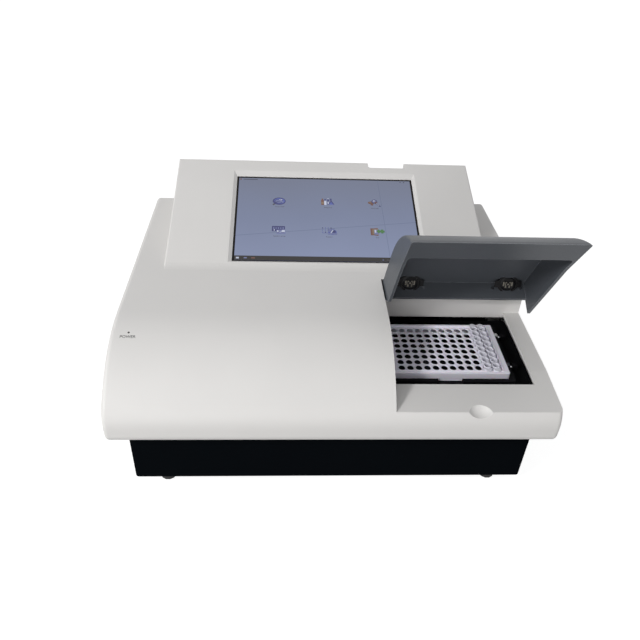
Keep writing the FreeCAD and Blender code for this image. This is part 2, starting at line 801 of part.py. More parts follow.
def closed_lid():
    """The lid as it lies in the bay: outside, hollow, back flange and round back edge."""
    bottom_z = DECK_Z + LID_GAP_BELOW
    front_bottom_z = deck_z(COVER_FRONT_Y) + LID_GAP_BELOW
    outline = nose_face(0, COVER_LIP_Z, COVER_BACK_Y)
    body = along_x(outline, lid_left_x, half_cover)

    def outer_rim(point, edge):
        at_side = point.x < lid_left_x + 0.01 or point.x > half_cover - 0.01
        return at_side and point.z > COVER_LIP_Z + 0.01

    body = round_edges(body, LID_EDGE_RADIUS, outer_rim)
    keep = side_face(
        (lid_back_y, bottom_z),
        ((lid_back_y, COVER_TOP_Z),),
        ((COVER_FRONT_Y, COVER_TOP_Z),),
        ((COVER_FRONT_Y, front_bottom_z),),
        ((DECK_BEND_Y, bottom_z),),
    )
    body = body.common(along_x(keep, lid_left_x, half_cover))
    barrel = axis_bar(LID_AXIS_BELOW_TOP, lid_left_x, half_cover)
    back_fill = box(
        lid_left_x, half_cover, lid_back_y - LID_WALL, lid_axis_y,
        lid_axis_z - LID_AXIS_BELOW_TOP / 2, lid_axis_z + LID_AXIS_BELOW_TOP,
    )
    left = lid_left_x + LID_WALL
    right = half_cover - LID_WALL
    front_y = nose_y(front_bottom_z) + LID_FRONT_RIM
    inner_top = COVER_TOP_Z - LID_WALL
    room = box(left, right, front_y, lid_back_y - LID_WALL, front_bottom_z - 1, inner_top)
    room = round_edges(
        room, LID_CORNER_RADIUS,
        lambda point, edge: runs_along(Z_AXIS, edge) and point.y < front_y + 0.01,
    )
    hollow = along_x(nose_face(LID_WALL, COVER_LIP_Z, COVER_BACK_Y), left, right).common(room)
    open_back = box(
        left, right, lid_back_y - 2 * LID_WALL, lid_back_y + 1,
        bottom_z - 1, COVER_TOP_Z - LID_FLANGE_HEIGHT,
    )
    corner = side_face(
        (lid_back_y - LID_CORNER_CUT, bottom_z - 1),
        ((lid_back_y + 1, bottom_z - 1),),
        ((lid_back_y + 1, COVER_TOP_Z - LID_FLANGE_HEIGHT),),
        ((lid_back_y, COVER_TOP_Z - LID_FLANGE_HEIGHT),),
    )
    left_corner = along_x(corner, lid_left_x - 1, left)
    return body.fuse([barrel, back_fill]).cut([hollow, open_back, left_corner]).removeSplitter()


def hinge_cup_bar(x):
    """The round body of a hinge cup, set aslant in the lid's back corner."""
    tilt = math.radians(CUP_TILT)
    inwards = (math.cos(tilt), math.sin(tilt))
    face_y = lid_axis_y - CUP_FORWARD_OF_AXIS
    face_z = lid_axis_z - CUP_BELOW_AXIS
    start = (x, face_y, face_z)
    end = (x, face_y + CUP_DEPTH * inwards[0], face_z + CUP_DEPTH * inwards[1])
    return start, end


def lid():
    shape = closed_lid()
    cutters = []
    for x in (HINGE_LEFT_X, hinge_right_x):
        half = HINGE_KNUCKLE_WIDTH / 2 + HINGE_SIDE_GAP
        pin_half = HINGE_PIN_LENGTH / 2 + LENS_FIT
        cutters.append(axis_bar(HINGE_NOTCH_RADIUS, x - half, x + half))
        cutters.append(pin_hole(HINGE_PIN_RADIUS + LENS_FIT, x - pin_half, x + pin_half))
    return opened(shape.cut(cutters))


def hinge_cup(x):
    """Black cup with its slotted metal core, in the corner under the lid's back edge."""
    start, end = hinge_cup_bar(x)
    half = HINGE_KNUCKLE_WIDTH / 2 + 2 * HINGE_SIDE_GAP
    cup = many_sided(FEW_SIDE_COUNT, CUP_RADIUS, start, end)
    inner = VECTOR(*start) + (VECTOR(*end) - VECTOR(*start)).normalize() * CUP_RECESS
    recess = many_sided(FEW_SIDE_COUNT, CUP_RADIUS - CUP_RIM, start, tuple(inner))
    clear = axis_bar(HINGE_NOTCH_RADIUS + CLEARANCE, x - half, x + half)
    cup = cup.cut([recess, closed_lid(), clear])
    solids = sorted(cup.Solids, key=lambda solid: -solid.Volume)
    return opened(solids[0])


def hinge_arm(x):
    """Fixed hinge arm: a leaf behind the bay's back wall, a neck and the knuckle on the axis."""
    half = HINGE_KNUCKLE_WIDTH / 2
    leaf_front = BAY_BACK_Y + COVER_WALL
    leaf_back = leaf_front + HINGE_LEAF_THICKNESS
    leaf = box(
        x - HINGE_LEAF_WIDTH / 2, x + HINGE_LEAF_WIDTH / 2, leaf_front, leaf_back,
        hinge_leaf_top - HINGE_LEAF_HEIGHT, hinge_leaf_top,
    )
    neck = box(x - half, x + half, lid_axis_y - HINGE_NECK_FRONT, leaf_back,
               hinge_leaf_top - HINGE_NECK_OVERLAP, lid_axis_z)
    knuckle = many_sided(SEAT_SIDE_COUNT, HINGE_KNUCKLE_RADIUS, (x - half, lid_axis_y, lid_axis_z),
                         (x + half, lid_axis_y, lid_axis_z))
    bore = pin_hole(HINGE_PIN_RADIUS + HINGE_PIN_CLEARANCE, x - half - 1, x + half + 1)
    return fuse_all([leaf, neck, knuckle]).cut(bore)


def hinge_pin(x):
    half = HINGE_PIN_LENGTH / 2
    return many_sided(SEAT_SIDE_COUNT, HINGE_PIN_RADIUS, (x - half, lid_axis_y, lid_axis_z),
                      (x + half, lid_axis_y, lid_axis_z))


def hinge_screws():
    """Pan-head screws beside the cups, in the lid's back flange."""
    face_y = lid_back_y - LID_WALL
    z = lid_axis_z - CUP_BELOW_AXIS - 2
    screws = []
    for x in (HINGE_LEFT_X, hinge_right_x):
        for side in (-1, 1):
            at = x + side * CUP_SCREW_OFFSET
            head = many_sided(FEW_SIDE_COUNT, CUP_SCREW_RADIUS, (at, face_y - 1, z), (at, face_y, z))
            screws.append(opened(head))
    return Part.makeCompound(screws)


def base_tray():
    """Folded steel tray with a top flange, back-panel cut-outs and vents."""
    half = BASE_WIDTH / 2
    outer = box(-half, half, BASE_FRONT_Y, BASE_BACK_Y, BASE_BOTTOM_Z, base_top_z)
    outer = round_edges(
        outer, BASE_CORNER_RADIUS, lambda point, edge: runs_along(Z_AXIS, edge))
    outer = outer.makeChamfer(BASE_SHEET / 2, [
        edge for edge in outer.Edges if edge.CenterOfMass.z < BASE_BOTTOM_Z + 0.01])
    sheet = BASE_SHEET
    inner = box(-half + sheet, half - sheet, BASE_FRONT_Y + sheet, BASE_BACK_Y - sheet,
                base_floor_z, base_top_z - sheet)
    inner = round_edges(
        inner, BASE_CORNER_RADIUS - sheet, lambda point, edge: runs_along(Z_AXIS, edge))
    edge = BASE_FLANGE
    mouth = box(-half + edge, half - edge, BASE_FRONT_Y + edge, BASE_BACK_Y - edge,
                base_floor_z, base_top_z + 1)
    cutters = [inner, mouth]
    cutters += cover_screw_holes(COVER_SCREW_RADIUS)
    cutters += tab_slots()
    cutters += back_panel_holes()
    cutters += vent_slots()
    return outer.cut(cutters).removeSplitter()


def tab_slots():
    """Slots in the base flange that the cover's tabs pass through."""
    slots = []
    for side in (-1, 1):
        for y in (-TAB_Y, TAB_Y):
            x0, x1 = sorted((side * base_inner_x, side * (base_inner_x - BASE_FLANGE)))
            half = TAB_WIDTH / 2 + CLEARANCE
            slots.append(box(x0, x1, y - half, y + half, base_top_z - 5, base_top_z + 1))
    return slots


def back_panel_holes():
    y0 = BASE_BACK_Y - BASE_SHEET - 1
    y1 = BASE_BACK_Y + 1
    holes = [
        box(INLET_X - INLET_WIDTH / 2, INLET_X + INLET_WIDTH / 2, y0, y1,
            INLET_Z - INLET_HEIGHT / 2, INLET_Z + INLET_HEIGHT / 2),
        box(SWITCH_X - SWITCH_WIDTH / 2, SWITCH_X + SWITCH_WIDTH / 2, y0, y1,
            INLET_Z - SWITCH_HEIGHT / 2, INLET_Z + SWITCH_HEIGHT / 2),
        box(PORTS_X - PORTS_WIDTH / 2, PORTS_X + PORTS_WIDTH / 2, y0, y1,
            PORTS_Z - PORTS_HEIGHT / 2, PORTS_Z + PORTS_HEIGHT / 2),
    ]
    grille = many_sided(ROUND_SIDE_COUNT, FAN_BORE_RADIUS, (FAN_X, y0, FAN_Z), (FAN_X, y1, FAN_Z))
    step = 2 * FAN_BORE_RADIUS / (GRILLE_BARS + 1)
    bars = []
    for number in range(1, GRILLE_BARS + 1):
        z = FAN_Z - FAN_BORE_RADIUS + number * step
        bars.append(box(FAN_X - FAN_BORE_RADIUS, FAN_X + FAN_BORE_RADIUS, y0, y1,
                        z - BASE_SHEET, z + BASE_SHEET))
    post = box(FAN_X - BASE_SHEET, FAN_X + BASE_SHEET, y0, y1,
               FAN_Z - FAN_BORE_RADIUS, FAN_Z + FAN_BORE_RADIUS)
    holes.append(grille.cut(bars + [post]))
    return holes


def vent_slots():
    """Rows of slots in both sides of the base, near its back."""
    slots = []
    y = BASE_BACK_Y - VENT_FROM_BACK
    for side in (-1, 1):
        x0, x1 = sorted((side * (base_inner_x - 1), side * (BASE_WIDTH / 2 + 1)))
        for number in range(VENT_SLOT_COUNT):
            z = BASE_BOTTOM_Z + VENT_FROM_FLOOR + number * VENT_SLOT_PITCH
            slots.append(box(x0, x1, y, y + VENT_SLOT_LENGTH, z, z + VENT_SLOT_WIDTH))
    return slots


def feet():
    """Four rubber feet with tapered soles."""
    pads = []
    for side in (-1, 1):
        for y in (FOOT_FRONT_Y, FOOT_BACK_Y):
            x = side * FOOT_X
            sole = tapered(SEAT_SIDE_COUNT, FOOT_RADIUS - FOOT_EDGE, FOOT_RADIUS, (x, y, 0),
                           (x, y, FOOT_EDGE))
            pad = many_sided(SEAT_SIDE_COUNT, FOOT_RADIUS, (x, y, FOOT_EDGE), (x, y, BASE_BOTTOM_Z))
            pads.append(sole.fuse(pad))
    return Part.makeCompound(pads)


def cover_screws():
    """Pan-head screws through the base's sides into the cover's tabs."""
    z = base_top_z - COVER_SCREW_DROP
    outer = BASE_WIDTH / 2
    screws = []
    for side in (-1, 1):
        for y in (-TAB_Y, TAB_Y):
            shank = many_sided(FEW_SIDE_COUNT, COVER_SCREW_RADIUS - LENS_FIT,
                               (side * (base_inner_x - COVER_WALL), y, z), (side * outer, y, z))
            head = many_sided(FEW_SIDE_COUNT, COVER_SCREW_HEAD_RADIUS, (side * outer, y, z),
                              (side * (outer + COVER_SCREW_HEAD_HEIGHT), y, z))
            screws.append(shank.fuse(head).removeSplitter())
    return Part.makeCompound(screws)


def panel_box(half_width, margin, n0, n1):
    """A slab behind the screen window, wider than it by a margin on each side."""
    top = -SCREEN_TOP_RUN + margin
    bottom = -SCREEN_TOP_RUN - SCREEN_HEIGHT - margin
    return box(-half_width - margin, half_width + margin, bottom, top, n0, n1)


def display_glass():
    front = -COVER_WALL
    return on_panel(panel_box(SCREEN_WIDTH / 2, GLASS_BORDER, front - GLASS_THICKNESS, front))


def lcd_panel():
    front = -COVER_WALL - GLASS_THICKNESS
    return on_panel(panel_box(SCREEN_WIDTH / 2, LCD_MARGIN, front - LCD_THICKNESS, front))


def display_bracket():
    """Sheet frame with ears that holds the screen against the cover."""
    back = -COVER_WALL - GLASS_THICKNESS - LCD_THICKNESS
    half = SCREEN_WIDTH / 2
    plate = panel_box(half, GLASS_BORDER, back - BRACKET_THICKNESS, back)
    window = panel_box(half - BRACKET_BAND, -BRACKET_BAND / 2, back - 2 * BRACKET_THICKNESS, back)
    reach = half + BRACKET_EAR + SCREEN_BOSS_RADIUS
    ears = []
    for v in (-SCREEN_TOP_RUN - BRACKET_BAND, BRACKET_BAND - SCREEN_TOP_RUN - SCREEN_HEIGHT):
        ears.append(box(-reach, reach, v - SCREEN_BOSS_RADIUS, v + SCREEN_BOSS_RADIUS,
                        back - BRACKET_THICKNESS, back))
    frame = fuse_all([plate] + ears).cut(window)
    return on_panel(frame)


def power_indicator():
    """Small light pipe flush with the curved shoulder."""
    top, front, meet = nose_centres()
    reach = NOSE_START_Y - INDICATOR_Y
    surface_z = top[1] + math.sqrt(NOSE_TOP_RADIUS ** 2 - reach ** 2)
    pipe = many_sided(SEAT_SIDE_COUNT, INDICATOR_RADIUS,
                      (indicator_x, INDICATOR_Y, surface_z - 2 * COVER_WALL),
                      (indicator_x, INDICATOR_Y, surface_z + 1))
    whole = along_x(nose_face(0, COVER_LIP_Z, COVER_BACK_Y), -half_cover, half_cover)
    return pipe.common(whole)


def chassis_plate():
    """Flat plate with a tongue at the back for the filter unit."""
    main = box(-CHASSIS_HALF_WIDTH, CHASSIS_HALF_WIDTH, CHASSIS_FRONT_Y, CHASSIS_BACK_Y,
               chassis_bottom_z, CHASSIS_TOP_Z)
    tongue = box(TONGUE_LEFT_X, TONGUE_RIGHT_X, CHASSIS_BACK_Y - 1, TONGUE_BACK_Y,
                 chassis_bottom_z, CHASSIS_TOP_Z)
    return fuse_all([main, tongue])


def pillar_places():
    x = CHASSIS_HALF_WIDTH - 3 * PILLAR_RADIUS
    places = [(side * x, y) for side in (-1, 1)
              for y in (CHASSIS_FRONT_Y + 3 * PILLAR_RADIUS, CHASSIS_BACK_Y - 2 * PILLAR_RADIUS)]
    tongue_y = TONGUE_BACK_Y - 2 * PILLAR_RADIUS
    places += [(TONGUE_LEFT_X + 2 * PILLAR_RADIUS, tongue_y),
               (TONGUE_RIGHT_X - 2 * PILLAR_RADIUS, tongue_y)]
    return places


def chassis_pillars():
    return Part.makeCompound([
        many_sided(HEX_SIDE_COUNT, PILLAR_RADIUS, (x, y, base_floor_z), (x, y, chassis_bottom_z))
        for x, y in pillar_places()
    ])


def guide_rod(y):
    return rod(ROD_RADIUS, (ROD_LEFT_X, y, ROD_Z), (ROD_RIGHT_X, y, ROD_Z))


def rod_support(x):
    """Cross bar that holds one end of both guide rods."""
    half = SUPPORT_HALF_DEPTH
    top = ROD_Z + SUPPORT_TOP_ABOVE_ROD
    bar = box(x, x + SUPPORT_THICKNESS, ROD_FRONT_Y - half, ROD_BACK_Y + half, CHASSIS_TOP_Z, top)
    middle = box(x - 1, x + SUPPORT_THICKNESS + 1, ROD_FRONT_Y + half, ROD_BACK_Y - half,
                 CHASSIS_TOP_Z + CHASSIS_THICKNESS, top + 1)
    bores = [many_sided_hole(SEAT_SIDE_COUNT, ROD_RADIUS + LENS_FIT, (x - 1, y, ROD_Z),
                             (x + SUPPORT_THICKNESS + 1, y, ROD_Z))
             for y in (ROD_FRONT_Y, ROD_BACK_Y)]
    return bar.cut([middle] + bores)


def carriage_block(y):
    """Bearing block under the carrier, bored for its two bushes."""
    x0 = BLOCK_LEFT_X
    x1 = x0 + BLOCK_LENGTH
    low = ROD_Z - BLOCK_HALF_WIDTH
    block = box(x0, x1, y - BLOCK_HALF_WIDTH, y + BLOCK_HALF_WIDTH, low, carrier_bottom_z)
    block = round_edges(
        block, CARRIER_EDGE_RADIUS,
        lambda point, edge: runs_along(X_AXIS, edge) and point.z < low + 0.01,
    )
    seat = ROD_RADIUS + BUSH_CLEARANCE + BUSH_WALL + LENS_FIT
    return block.cut(many_sided_hole(SEAT_SIDE_COUNT, seat, (x0 - 1, y, ROD_Z), (x1 + 1, y, ROD_Z)))


def carriage_bushes():
    outer = ROD_RADIUS + BUSH_CLEARANCE + BUSH_WALL
    bushes = []
    for y in (ROD_FRONT_Y, ROD_BACK_Y):
        for x in (BLOCK_LEFT_X, BLOCK_LEFT_X + BLOCK_LENGTH - BUSH_LENGTH):
            tube = many_sided(SEAT_SIDE_COUNT, outer, (x, y, ROD_Z), (x + BUSH_LENGTH, y, ROD_Z))
            bore = many_sided_hole(SEAT_SIDE_COUNT, ROD_RADIUS + BUSH_CLEARANCE, (x - 1, y, ROD_Z),
                                   (x + BUSH_LENGTH + 1, y, ROD_Z))
            bushes.append(tube.cut(bore))
    return Part.makeCompound(bushes)


def plate_carrier():
    """Flat carrier with the nest walls for the microplate and an open floor under its wells."""
    x0 = plate_left_x - CARRIER_LEFT_MARGIN
    x1 = plate_right_x + CARRIER_RIGHT_MARGIN
    y0 = ROD_FRONT_Y - BLOCK_HALF_WIDTH
    y1 = ROD_BACK_Y + BLOCK_HALF_WIDTH
    floor = box(x0, x1, y0, y1, carrier_bottom_z, plate_bottom_z)
    inner_x = PLATE_LENGTH / 2 + NEST_GAP
    inner_y = PLATE_WIDTH / 2 + NEST_GAP
    nest_top = plate_bottom_z + NEST_HEIGHT
    rim = box(x0, PLATE_CENTRE_X + inner_x + NEST_WALL,
              PLATE_CENTRE_Y - inner_y - NEST_WALL, PLATE_CENTRE_Y + inner_y + NEST_WALL,
              plate_bottom_z, nest_top)
    room = box(PLATE_CENTRE_X - inner_x, PLATE_CENTRE_X + inner_x,
               PLATE_CENTRE_Y - inner_y, PLATE_CENTRE_Y + inner_y, plate_bottom_z, nest_top + 1)

    def corner(point, edge):
        return runs_along(Z_AXIS, edge)

    body = fuse_all([round_edges(floor, CARRIER_EDGE_RADIUS, corner),
                     round_edges(rim, CARRIER_EDGE_RADIUS, corner)])
    finger = box(PLATE_CENTRE_X - FINGER_CUT_WIDTH / 2, PLATE_CENTRE_X + FINGER_CUT_WIDTH / 2,
                 y0, y1, nest_top - FINGER_CUT_DROP, nest_top + 1)
    light = box(PLATE_CENTRE_X - PLATE_LENGTH / 2 + NEST_LEDGE,
                PLATE_CENTRE_X + PLATE_LENGTH / 2 - NEST_LEDGE,
                PLATE_CENTRE_Y - PLATE_WIDTH / 2 + NEST_LEDGE,
                PLATE_CENTRE_Y + PLATE_WIDTH / 2 - NEST_LEDGE,
                carrier_bottom_z - 1, plate_bottom_z + 1)
    gaps = []
    for y in clamp_places():
        half = CLAMP_WIDTH / 2 + CLEARANCE
        gaps.append(box(PLATE_CENTRE_X + inner_x - 1, x1 + 1, y - half, y + half,
                        plate_bottom_z, nest_top + 1))
    return body.cut([room, finger, light] + gaps).removeSplitter()


def clamp_places():
    middle = PLATE_CENTRE_Y + CLAMP_Y_SHIFT
    return (middle - CLAMP_Y_OFFSET, middle + CLAMP_Y_OFFSET)


def clamp_bottom():
    return plate_bottom_z + CLEARANCE


def plate_clamp(y):
    """Sprung plunger: a bright tip at the plate's edge and a tail in its guide."""
    x0 = plate_right_x + CLAMP_GAP
    z0 = clamp_bottom()
    z1 = plate_bottom_z + NEST_HEIGHT
    tip = box(x0, x0 + CLAMP_TIP_LENGTH, y - CLAMP_WIDTH / 2, y + CLAMP_WIDTH / 2, z0, z1)
    tip = round_edges(
        tip, CLAMP_WIDTH / 5,
        lambda point, edge: runs_along(Z_AXIS, edge) and point.x < x0 + 0.01,
    )
    mid_z = (z0 + z1) / 2
    tail_start = x0 + CLAMP_TIP_LENGTH
    tail = many_sided(FEW_SIDE_COUNT, CLAMP_TAIL_RADIUS, (tail_start, y, mid_z),
                      (tail_start + CLAMP_TAIL_LENGTH, y, mid_z))
    return fuse_all([tip, tail])


def clamp_guides():
    """Black housings that the clamp plungers slide into."""
    guides = []
    z0 = plate_bottom_z
    z1 = plate_bottom_z + NEST_HEIGHT
    for y in clamp_places():
        x0 = plate_right_x + CLAMP_GAP + CLAMP_TIP_LENGTH + CLAMP_TRAVEL + CLEARANCE
        x1 = x0 + CLAMP_GUIDE_LENGTH
        half = CLAMP_WIDTH / 2
        housing = box(x0, x1, y - half, y + half, z0, z1)
        mid_z = (clamp_bottom() + z1) / 2
        bore = many_sided_hole(FEW_SIDE_COUNT, CLAMP_TAIL_RADIUS + BUSH_CLEARANCE,
                               (x0 - 1, y, mid_z), (x1 + 1, y, mid_z))
        guides.append(housing.cut(bore))
    return Part.makeCompound(guides)


def microplate_frame():
    """Strip frame to the standard footprint: skirt, walls and a deck with round holes."""
    half_x = PLATE_LENGTH / 2
    half_y = PLATE_WIDTH / 2

    def block(inset, z0, z1):
        shape = box(PLATE_CENTRE_X - half_x + inset, PLATE_CENTRE_X + half_x - inset,
                    PLATE_CENTRE_Y - half_y + inset, PLATE_CENTRE_Y + half_y - inset, z0, z1)
        return shape.makeChamfer(PLATE_CORNER - inset, [
            edge for edge in shape.Edges if runs_along(Z_AXIS, edge)])

    skirt_top = plate_bottom_z + PLATE_SKIRT_HEIGHT
    outer = fuse_all([block(0, plate_bottom_z, skirt_top),
                      block(PLATE_SKIRT_STEP, skirt_top, PLATE_TOP_Z)])
    hollow = block(PLATE_SKIRT_STEP + PLATE_WALL, plate_bottom_z - 1, PLATE_TOP_Z - PLATE_DECK)
    holes = []
    for column in range(1, WELL_COLUMNS + 1):
        for row in range(1, WELL_ROWS + 1):
            x = well_x(column)
            y = well_y(row)
            holes.append(many_sided_hole(
                HEX_SIDE_COUNT, WELL_HOLE_RADIUS, (x, y, PLATE_TOP_Z - PLATE_DECK - 1),
                (x, y, PLATE_TOP_Z + 1)))
    return outer.cut([hollow] + holes)


def well_strip(column):
    """Clear strip of eight round wells hanging in the frame's holes."""
    x = well_x(column)
    reach = (WELL_ROWS - 1) / 2 * WELL_PITCH + STRIP_END
    web_z = PLATE_TOP_Z
    web = box(x - STRIP_WIDTH / 2, x + STRIP_WIDTH / 2, PLATE_CENTRE_Y - reach,
              PLATE_CENTRE_Y + reach, web_z, web_z + STRIP_WEB)
    bottom_z = web_z - STRIP_CUP_DEPTH
    cups = []
    bores = []
    for row in range(1, WELL_ROWS + 1):
        y = well_y(row)
        cups.append(many_sided(FEW_SIDE_COUNT, STRIP_CUP_RADIUS, (x, y, bottom_z), (x, y, web_z)))
        bores.append(many_sided(
            FEW_SIDE_COUNT, STRIP_CUP_RADIUS - STRIP_CUP_WALL, (x, y, bottom_z + STRIP_CUP_WALL),
            (x, y, web_z + STRIP_WEB + 1)))
    return web.fuse(cups).cut(bores).removeSplitter()


def pulley(x, bore_radius):
    """Toothless belt pulley with a flange on each side."""
    half = BELT_WIDTH / 2 + BELT_GAP
    groove = PULLEY_RADIUS - BELT_THICKNESS / 2 - BELT_GAP
    y0 = BELT_Y - half
    y1 = BELT_Y + half
    wide = PULLEY_RADIUS + PULLEY_FLANGE_HEIGHT
    edge = PULLEY_FLANGE
    body = many_sided(SEAT_SIDE_COUNT, groove, (x, y0, PULLEY_Z), (x, y1, PULLEY_Z))
    front = many_sided(SEAT_SIDE_COUNT, wide, (x, y0 - edge, PULLEY_Z), (x, y0, PULLEY_Z))
    back = many_sided(SEAT_SIDE_COUNT, wide, (x, y1, PULLEY_Z), (x, y1 + edge, PULLEY_Z))
    bore = many_sided_hole(SEAT_SIDE_COUNT, bore_radius, (x, y0 - 2 * edge, PULLEY_Z),
                           (x, y1 + 2 * edge, PULLEY_Z))
    return fuse_all([body, front, back]).cut(bore)


def stadium(radius, y0, y1):
    """Solid round both pulley centres, of one radius."""
    ends = [rod(radius, (x, y0, PULLEY_Z), (x, y1, PULLEY_Z)) for x in (DRIVE_PULLEY_X, IDLER_X)]
    middle = box(DRIVE_PULLEY_X, IDLER_X, y0, y1, PULLEY_Z - radius, PULLEY_Z + radius)
    return fuse_all([middle] + ends)


def drive_belt():
    y0 = BELT_Y - BELT_WIDTH / 2
    y1 = BELT_Y + BELT_WIDTH / 2
    outer = stadium(PULLEY_RADIUS + BELT_THICKNESS / 2, y0, y1)
    inner = stadium(PULLEY_RADIUS - BELT_THICKNESS / 2, y0 - 1, y1 + 1)
    return outer.cut(inner)


def belt_clamp():
    """Block under the carrier that grips the belt's upper run."""
    x0 = BLOCK_LEFT_X + CLAMP_BLOCK_LENGTH
    x1 = x0 + CLAMP_BLOCK_LENGTH
    run_z = PULLEY_Z + PULLEY_RADIUS
    slot = BELT_THICKNESS / 2 + BELT_GAP
    half = BELT_WIDTH / 2 + BELT_GAP
    block = box(x0, x1, BELT_Y - half - CLAMP_BLOCK_WALL, BELT_Y + half,
                run_z - slot - CLAMP_BLOCK_WALL, carrier_bottom_z)
    gap = box(x0 - 1, x1 + 1, BELT_Y - half, BELT_Y + half + 1, run_z - slot, run_z + slot)
    return block.cut(gap)


def square_motor(x, z, front_y, size, length, shaft_radius):
    """Square stepper motor body with its front boss, shaft hole open."""
    half = size / 2
    body = box(x - half, x + half, front_y, front_y + length, z - half, z + half)
    body = body.makeChamfer(MOTOR_CORNER, [
        edge for edge in body.Edges if runs_along(Y_AXIS, edge)])
    boss = many_sided(SEAT_SIDE_COUNT, MOTOR_BOSS_RADIUS, (x, front_y - MOTOR_BOSS_HEIGHT, z),
                      (x, front_y, z))
    bore = many_sided_hole(SEAT_SIDE_COUNT, shaft_radius + SHAFT_CLEARANCE,
                           (x, front_y - 2 * MOTOR_BOSS_HEIGHT, z), (x, front_y + length / 2, z))
    return fuse_all([body, boss]).cut(bore)


def drive_motor():
    return square_motor(DRIVE_PULLEY_X, PULLEY_Z, MOTOR_FRONT_Y, MOTOR_SIZE, MOTOR_LENGTH,
                        SHAFT_RADIUS)


def upright_plate(x, y1, half_width, top_z):
    """Upright plate behind the belt, standing on the chassis."""
    return box(x - half_width, x + half_width, y1 - MOTOR_PLATE, y1, CHASSIS_TOP_Z, top_z)


def motor_bracket():
    half = MOTOR_SIZE / 2
    plate = upright_plate(DRIVE_PULLEY_X, MOTOR_FRONT_Y, half, PULLEY_Z + half)
    return plate.cut(many_sided_hole(
        SEAT_SIDE_COUNT, MOTOR_BOSS_RADIUS + LENS_FIT,
        (DRIVE_PULLEY_X, MOTOR_FRONT_Y - 2 * MOTOR_PLATE, PULLEY_Z),
        (DRIVE_PULLEY_X, MOTOR_FRONT_Y + 1, PULLEY_Z),
    ))


def motor_shaft():
    """Motor shaft with the drive pulley's seat on it."""
    y0 = BELT_Y - BELT_WIDTH / 2 - BELT_GAP - PULLEY_FLANGE
    return many_sided(SEAT_SIDE_COUNT, SHAFT_RADIUS, (DRIVE_PULLEY_X, y0, PULLEY_Z),
                      (DRIVE_PULLEY_X, MOTOR_FRONT_Y + MOTOR_LENGTH / 2 - 1, PULLEY_Z))


def idler_bracket():
    """Upright plate with the pin that the idler pulley turns on."""
    plate = upright_plate(IDLER_X, MOTOR_FRONT_Y, MOTOR_SIZE / 2 - MOTOR_PLATE,
                          PULLEY_Z + PULLEY_RADIUS)
    pin = many_sided(SEAT_SIDE_COUNT, SHAFT_RADIUS,
                     (IDLER_X, BELT_Y - BELT_WIDTH / 2 - 2 * PULLEY_FLANGE, PULLEY_Z),
                     (IDLER_X, MOTOR_FRONT_Y, PULLEY_Z))
    return fuse_all([plate, pin])


def optics_bridge():
    """Portal over the plate's path; its beam is bored for one lens barrel per row."""
    x0 = OPTIC_X - BRIDGE_LENGTH / 2
    x1 = OPTIC_X + BRIDGE_LENGTH / 2
    portal = box(x0, x1, BRIDGE_FRONT_Y, BRIDGE_BACK_Y, CHASSIS_TOP_Z, beam_top_z)
    portal = round_edges(
        portal, BRIDGE_COLUMN,
        lambda point, edge: runs_along(X_AXIS, edge) and point.z > beam_top_z - 0.01,
    )
    way = box(x0 - 1, x1 + 1, BRIDGE_FRONT_Y + BRIDGE_COLUMN, BRIDGE_BACK_Y - BRIDGE_COLUMN,
              CHASSIS_TOP_Z - 1, BRIDGE_BEAM_Z)
    bores = [many_sided(FEW_SIDE_COUNT, LENS_BARREL_RADIUS + LENS_FIT,
                        (OPTIC_X, well_y(row), BRIDGE_BEAM_Z - 1),
                        (OPTIC_X, well_y(row), beam_top_z + 1))
             for row in range(1, WELL_ROWS + 1)]
    return portal.cut([way] + bores)


def lens_barrels():
    return Part.makeCompound([
        many_sided(FEW_SIDE_COUNT, LENS_BARREL_RADIUS,
                   (OPTIC_X, well_y(row), BRIDGE_BEAM_Z - LENS_BARREL_DROP),
                   (OPTIC_X, well_y(row), beam_top_z + LENS_BARREL_STAND))
        for row in range(1, WELL_ROWS + 1)
    ])


def detector_board():
    """Board under the plate's path with one photodiode per row."""
    y0 = well_y(WELL_ROWS) - DETECTOR_OVERHANG
    y1 = well_y(1) + DETECTOR_OVERHANG
    top = DETECTOR_Z + DETECTOR_BOARD
    board = box(OPTIC_X - DETECTOR_WIDTH / 2, OPTIC_X + DETECTOR_WIDTH / 2, y0, y1,
                DETECTOR_Z, top)
    diodes = [many_sided(FEW_SIDE_COUNT, DIODE_RADIUS, (OPTIC_X, well_y(row), top),
                         (OPTIC_X, well_y(row), top + DIODE_HEIGHT))
              for row in range(1, WELL_ROWS + 1)]
    return fuse_all([board] + diodes)


def detector_posts():
    y0 = well_y(WELL_ROWS) - DETECTOR_OVERHANG + DETECTOR_POST_RADIUS
    y1 = well_y(1) + DETECTOR_OVERHANG - DETECTOR_POST_RADIUS
    return [
        many_sided(HEX_SIDE_COUNT, DETECTOR_POST_RADIUS, (OPTIC_X, y, CHASSIS_TOP_Z),
                   (OPTIC_X, y, DETECTOR_Z))
        for y in (y0, y1)
    ]


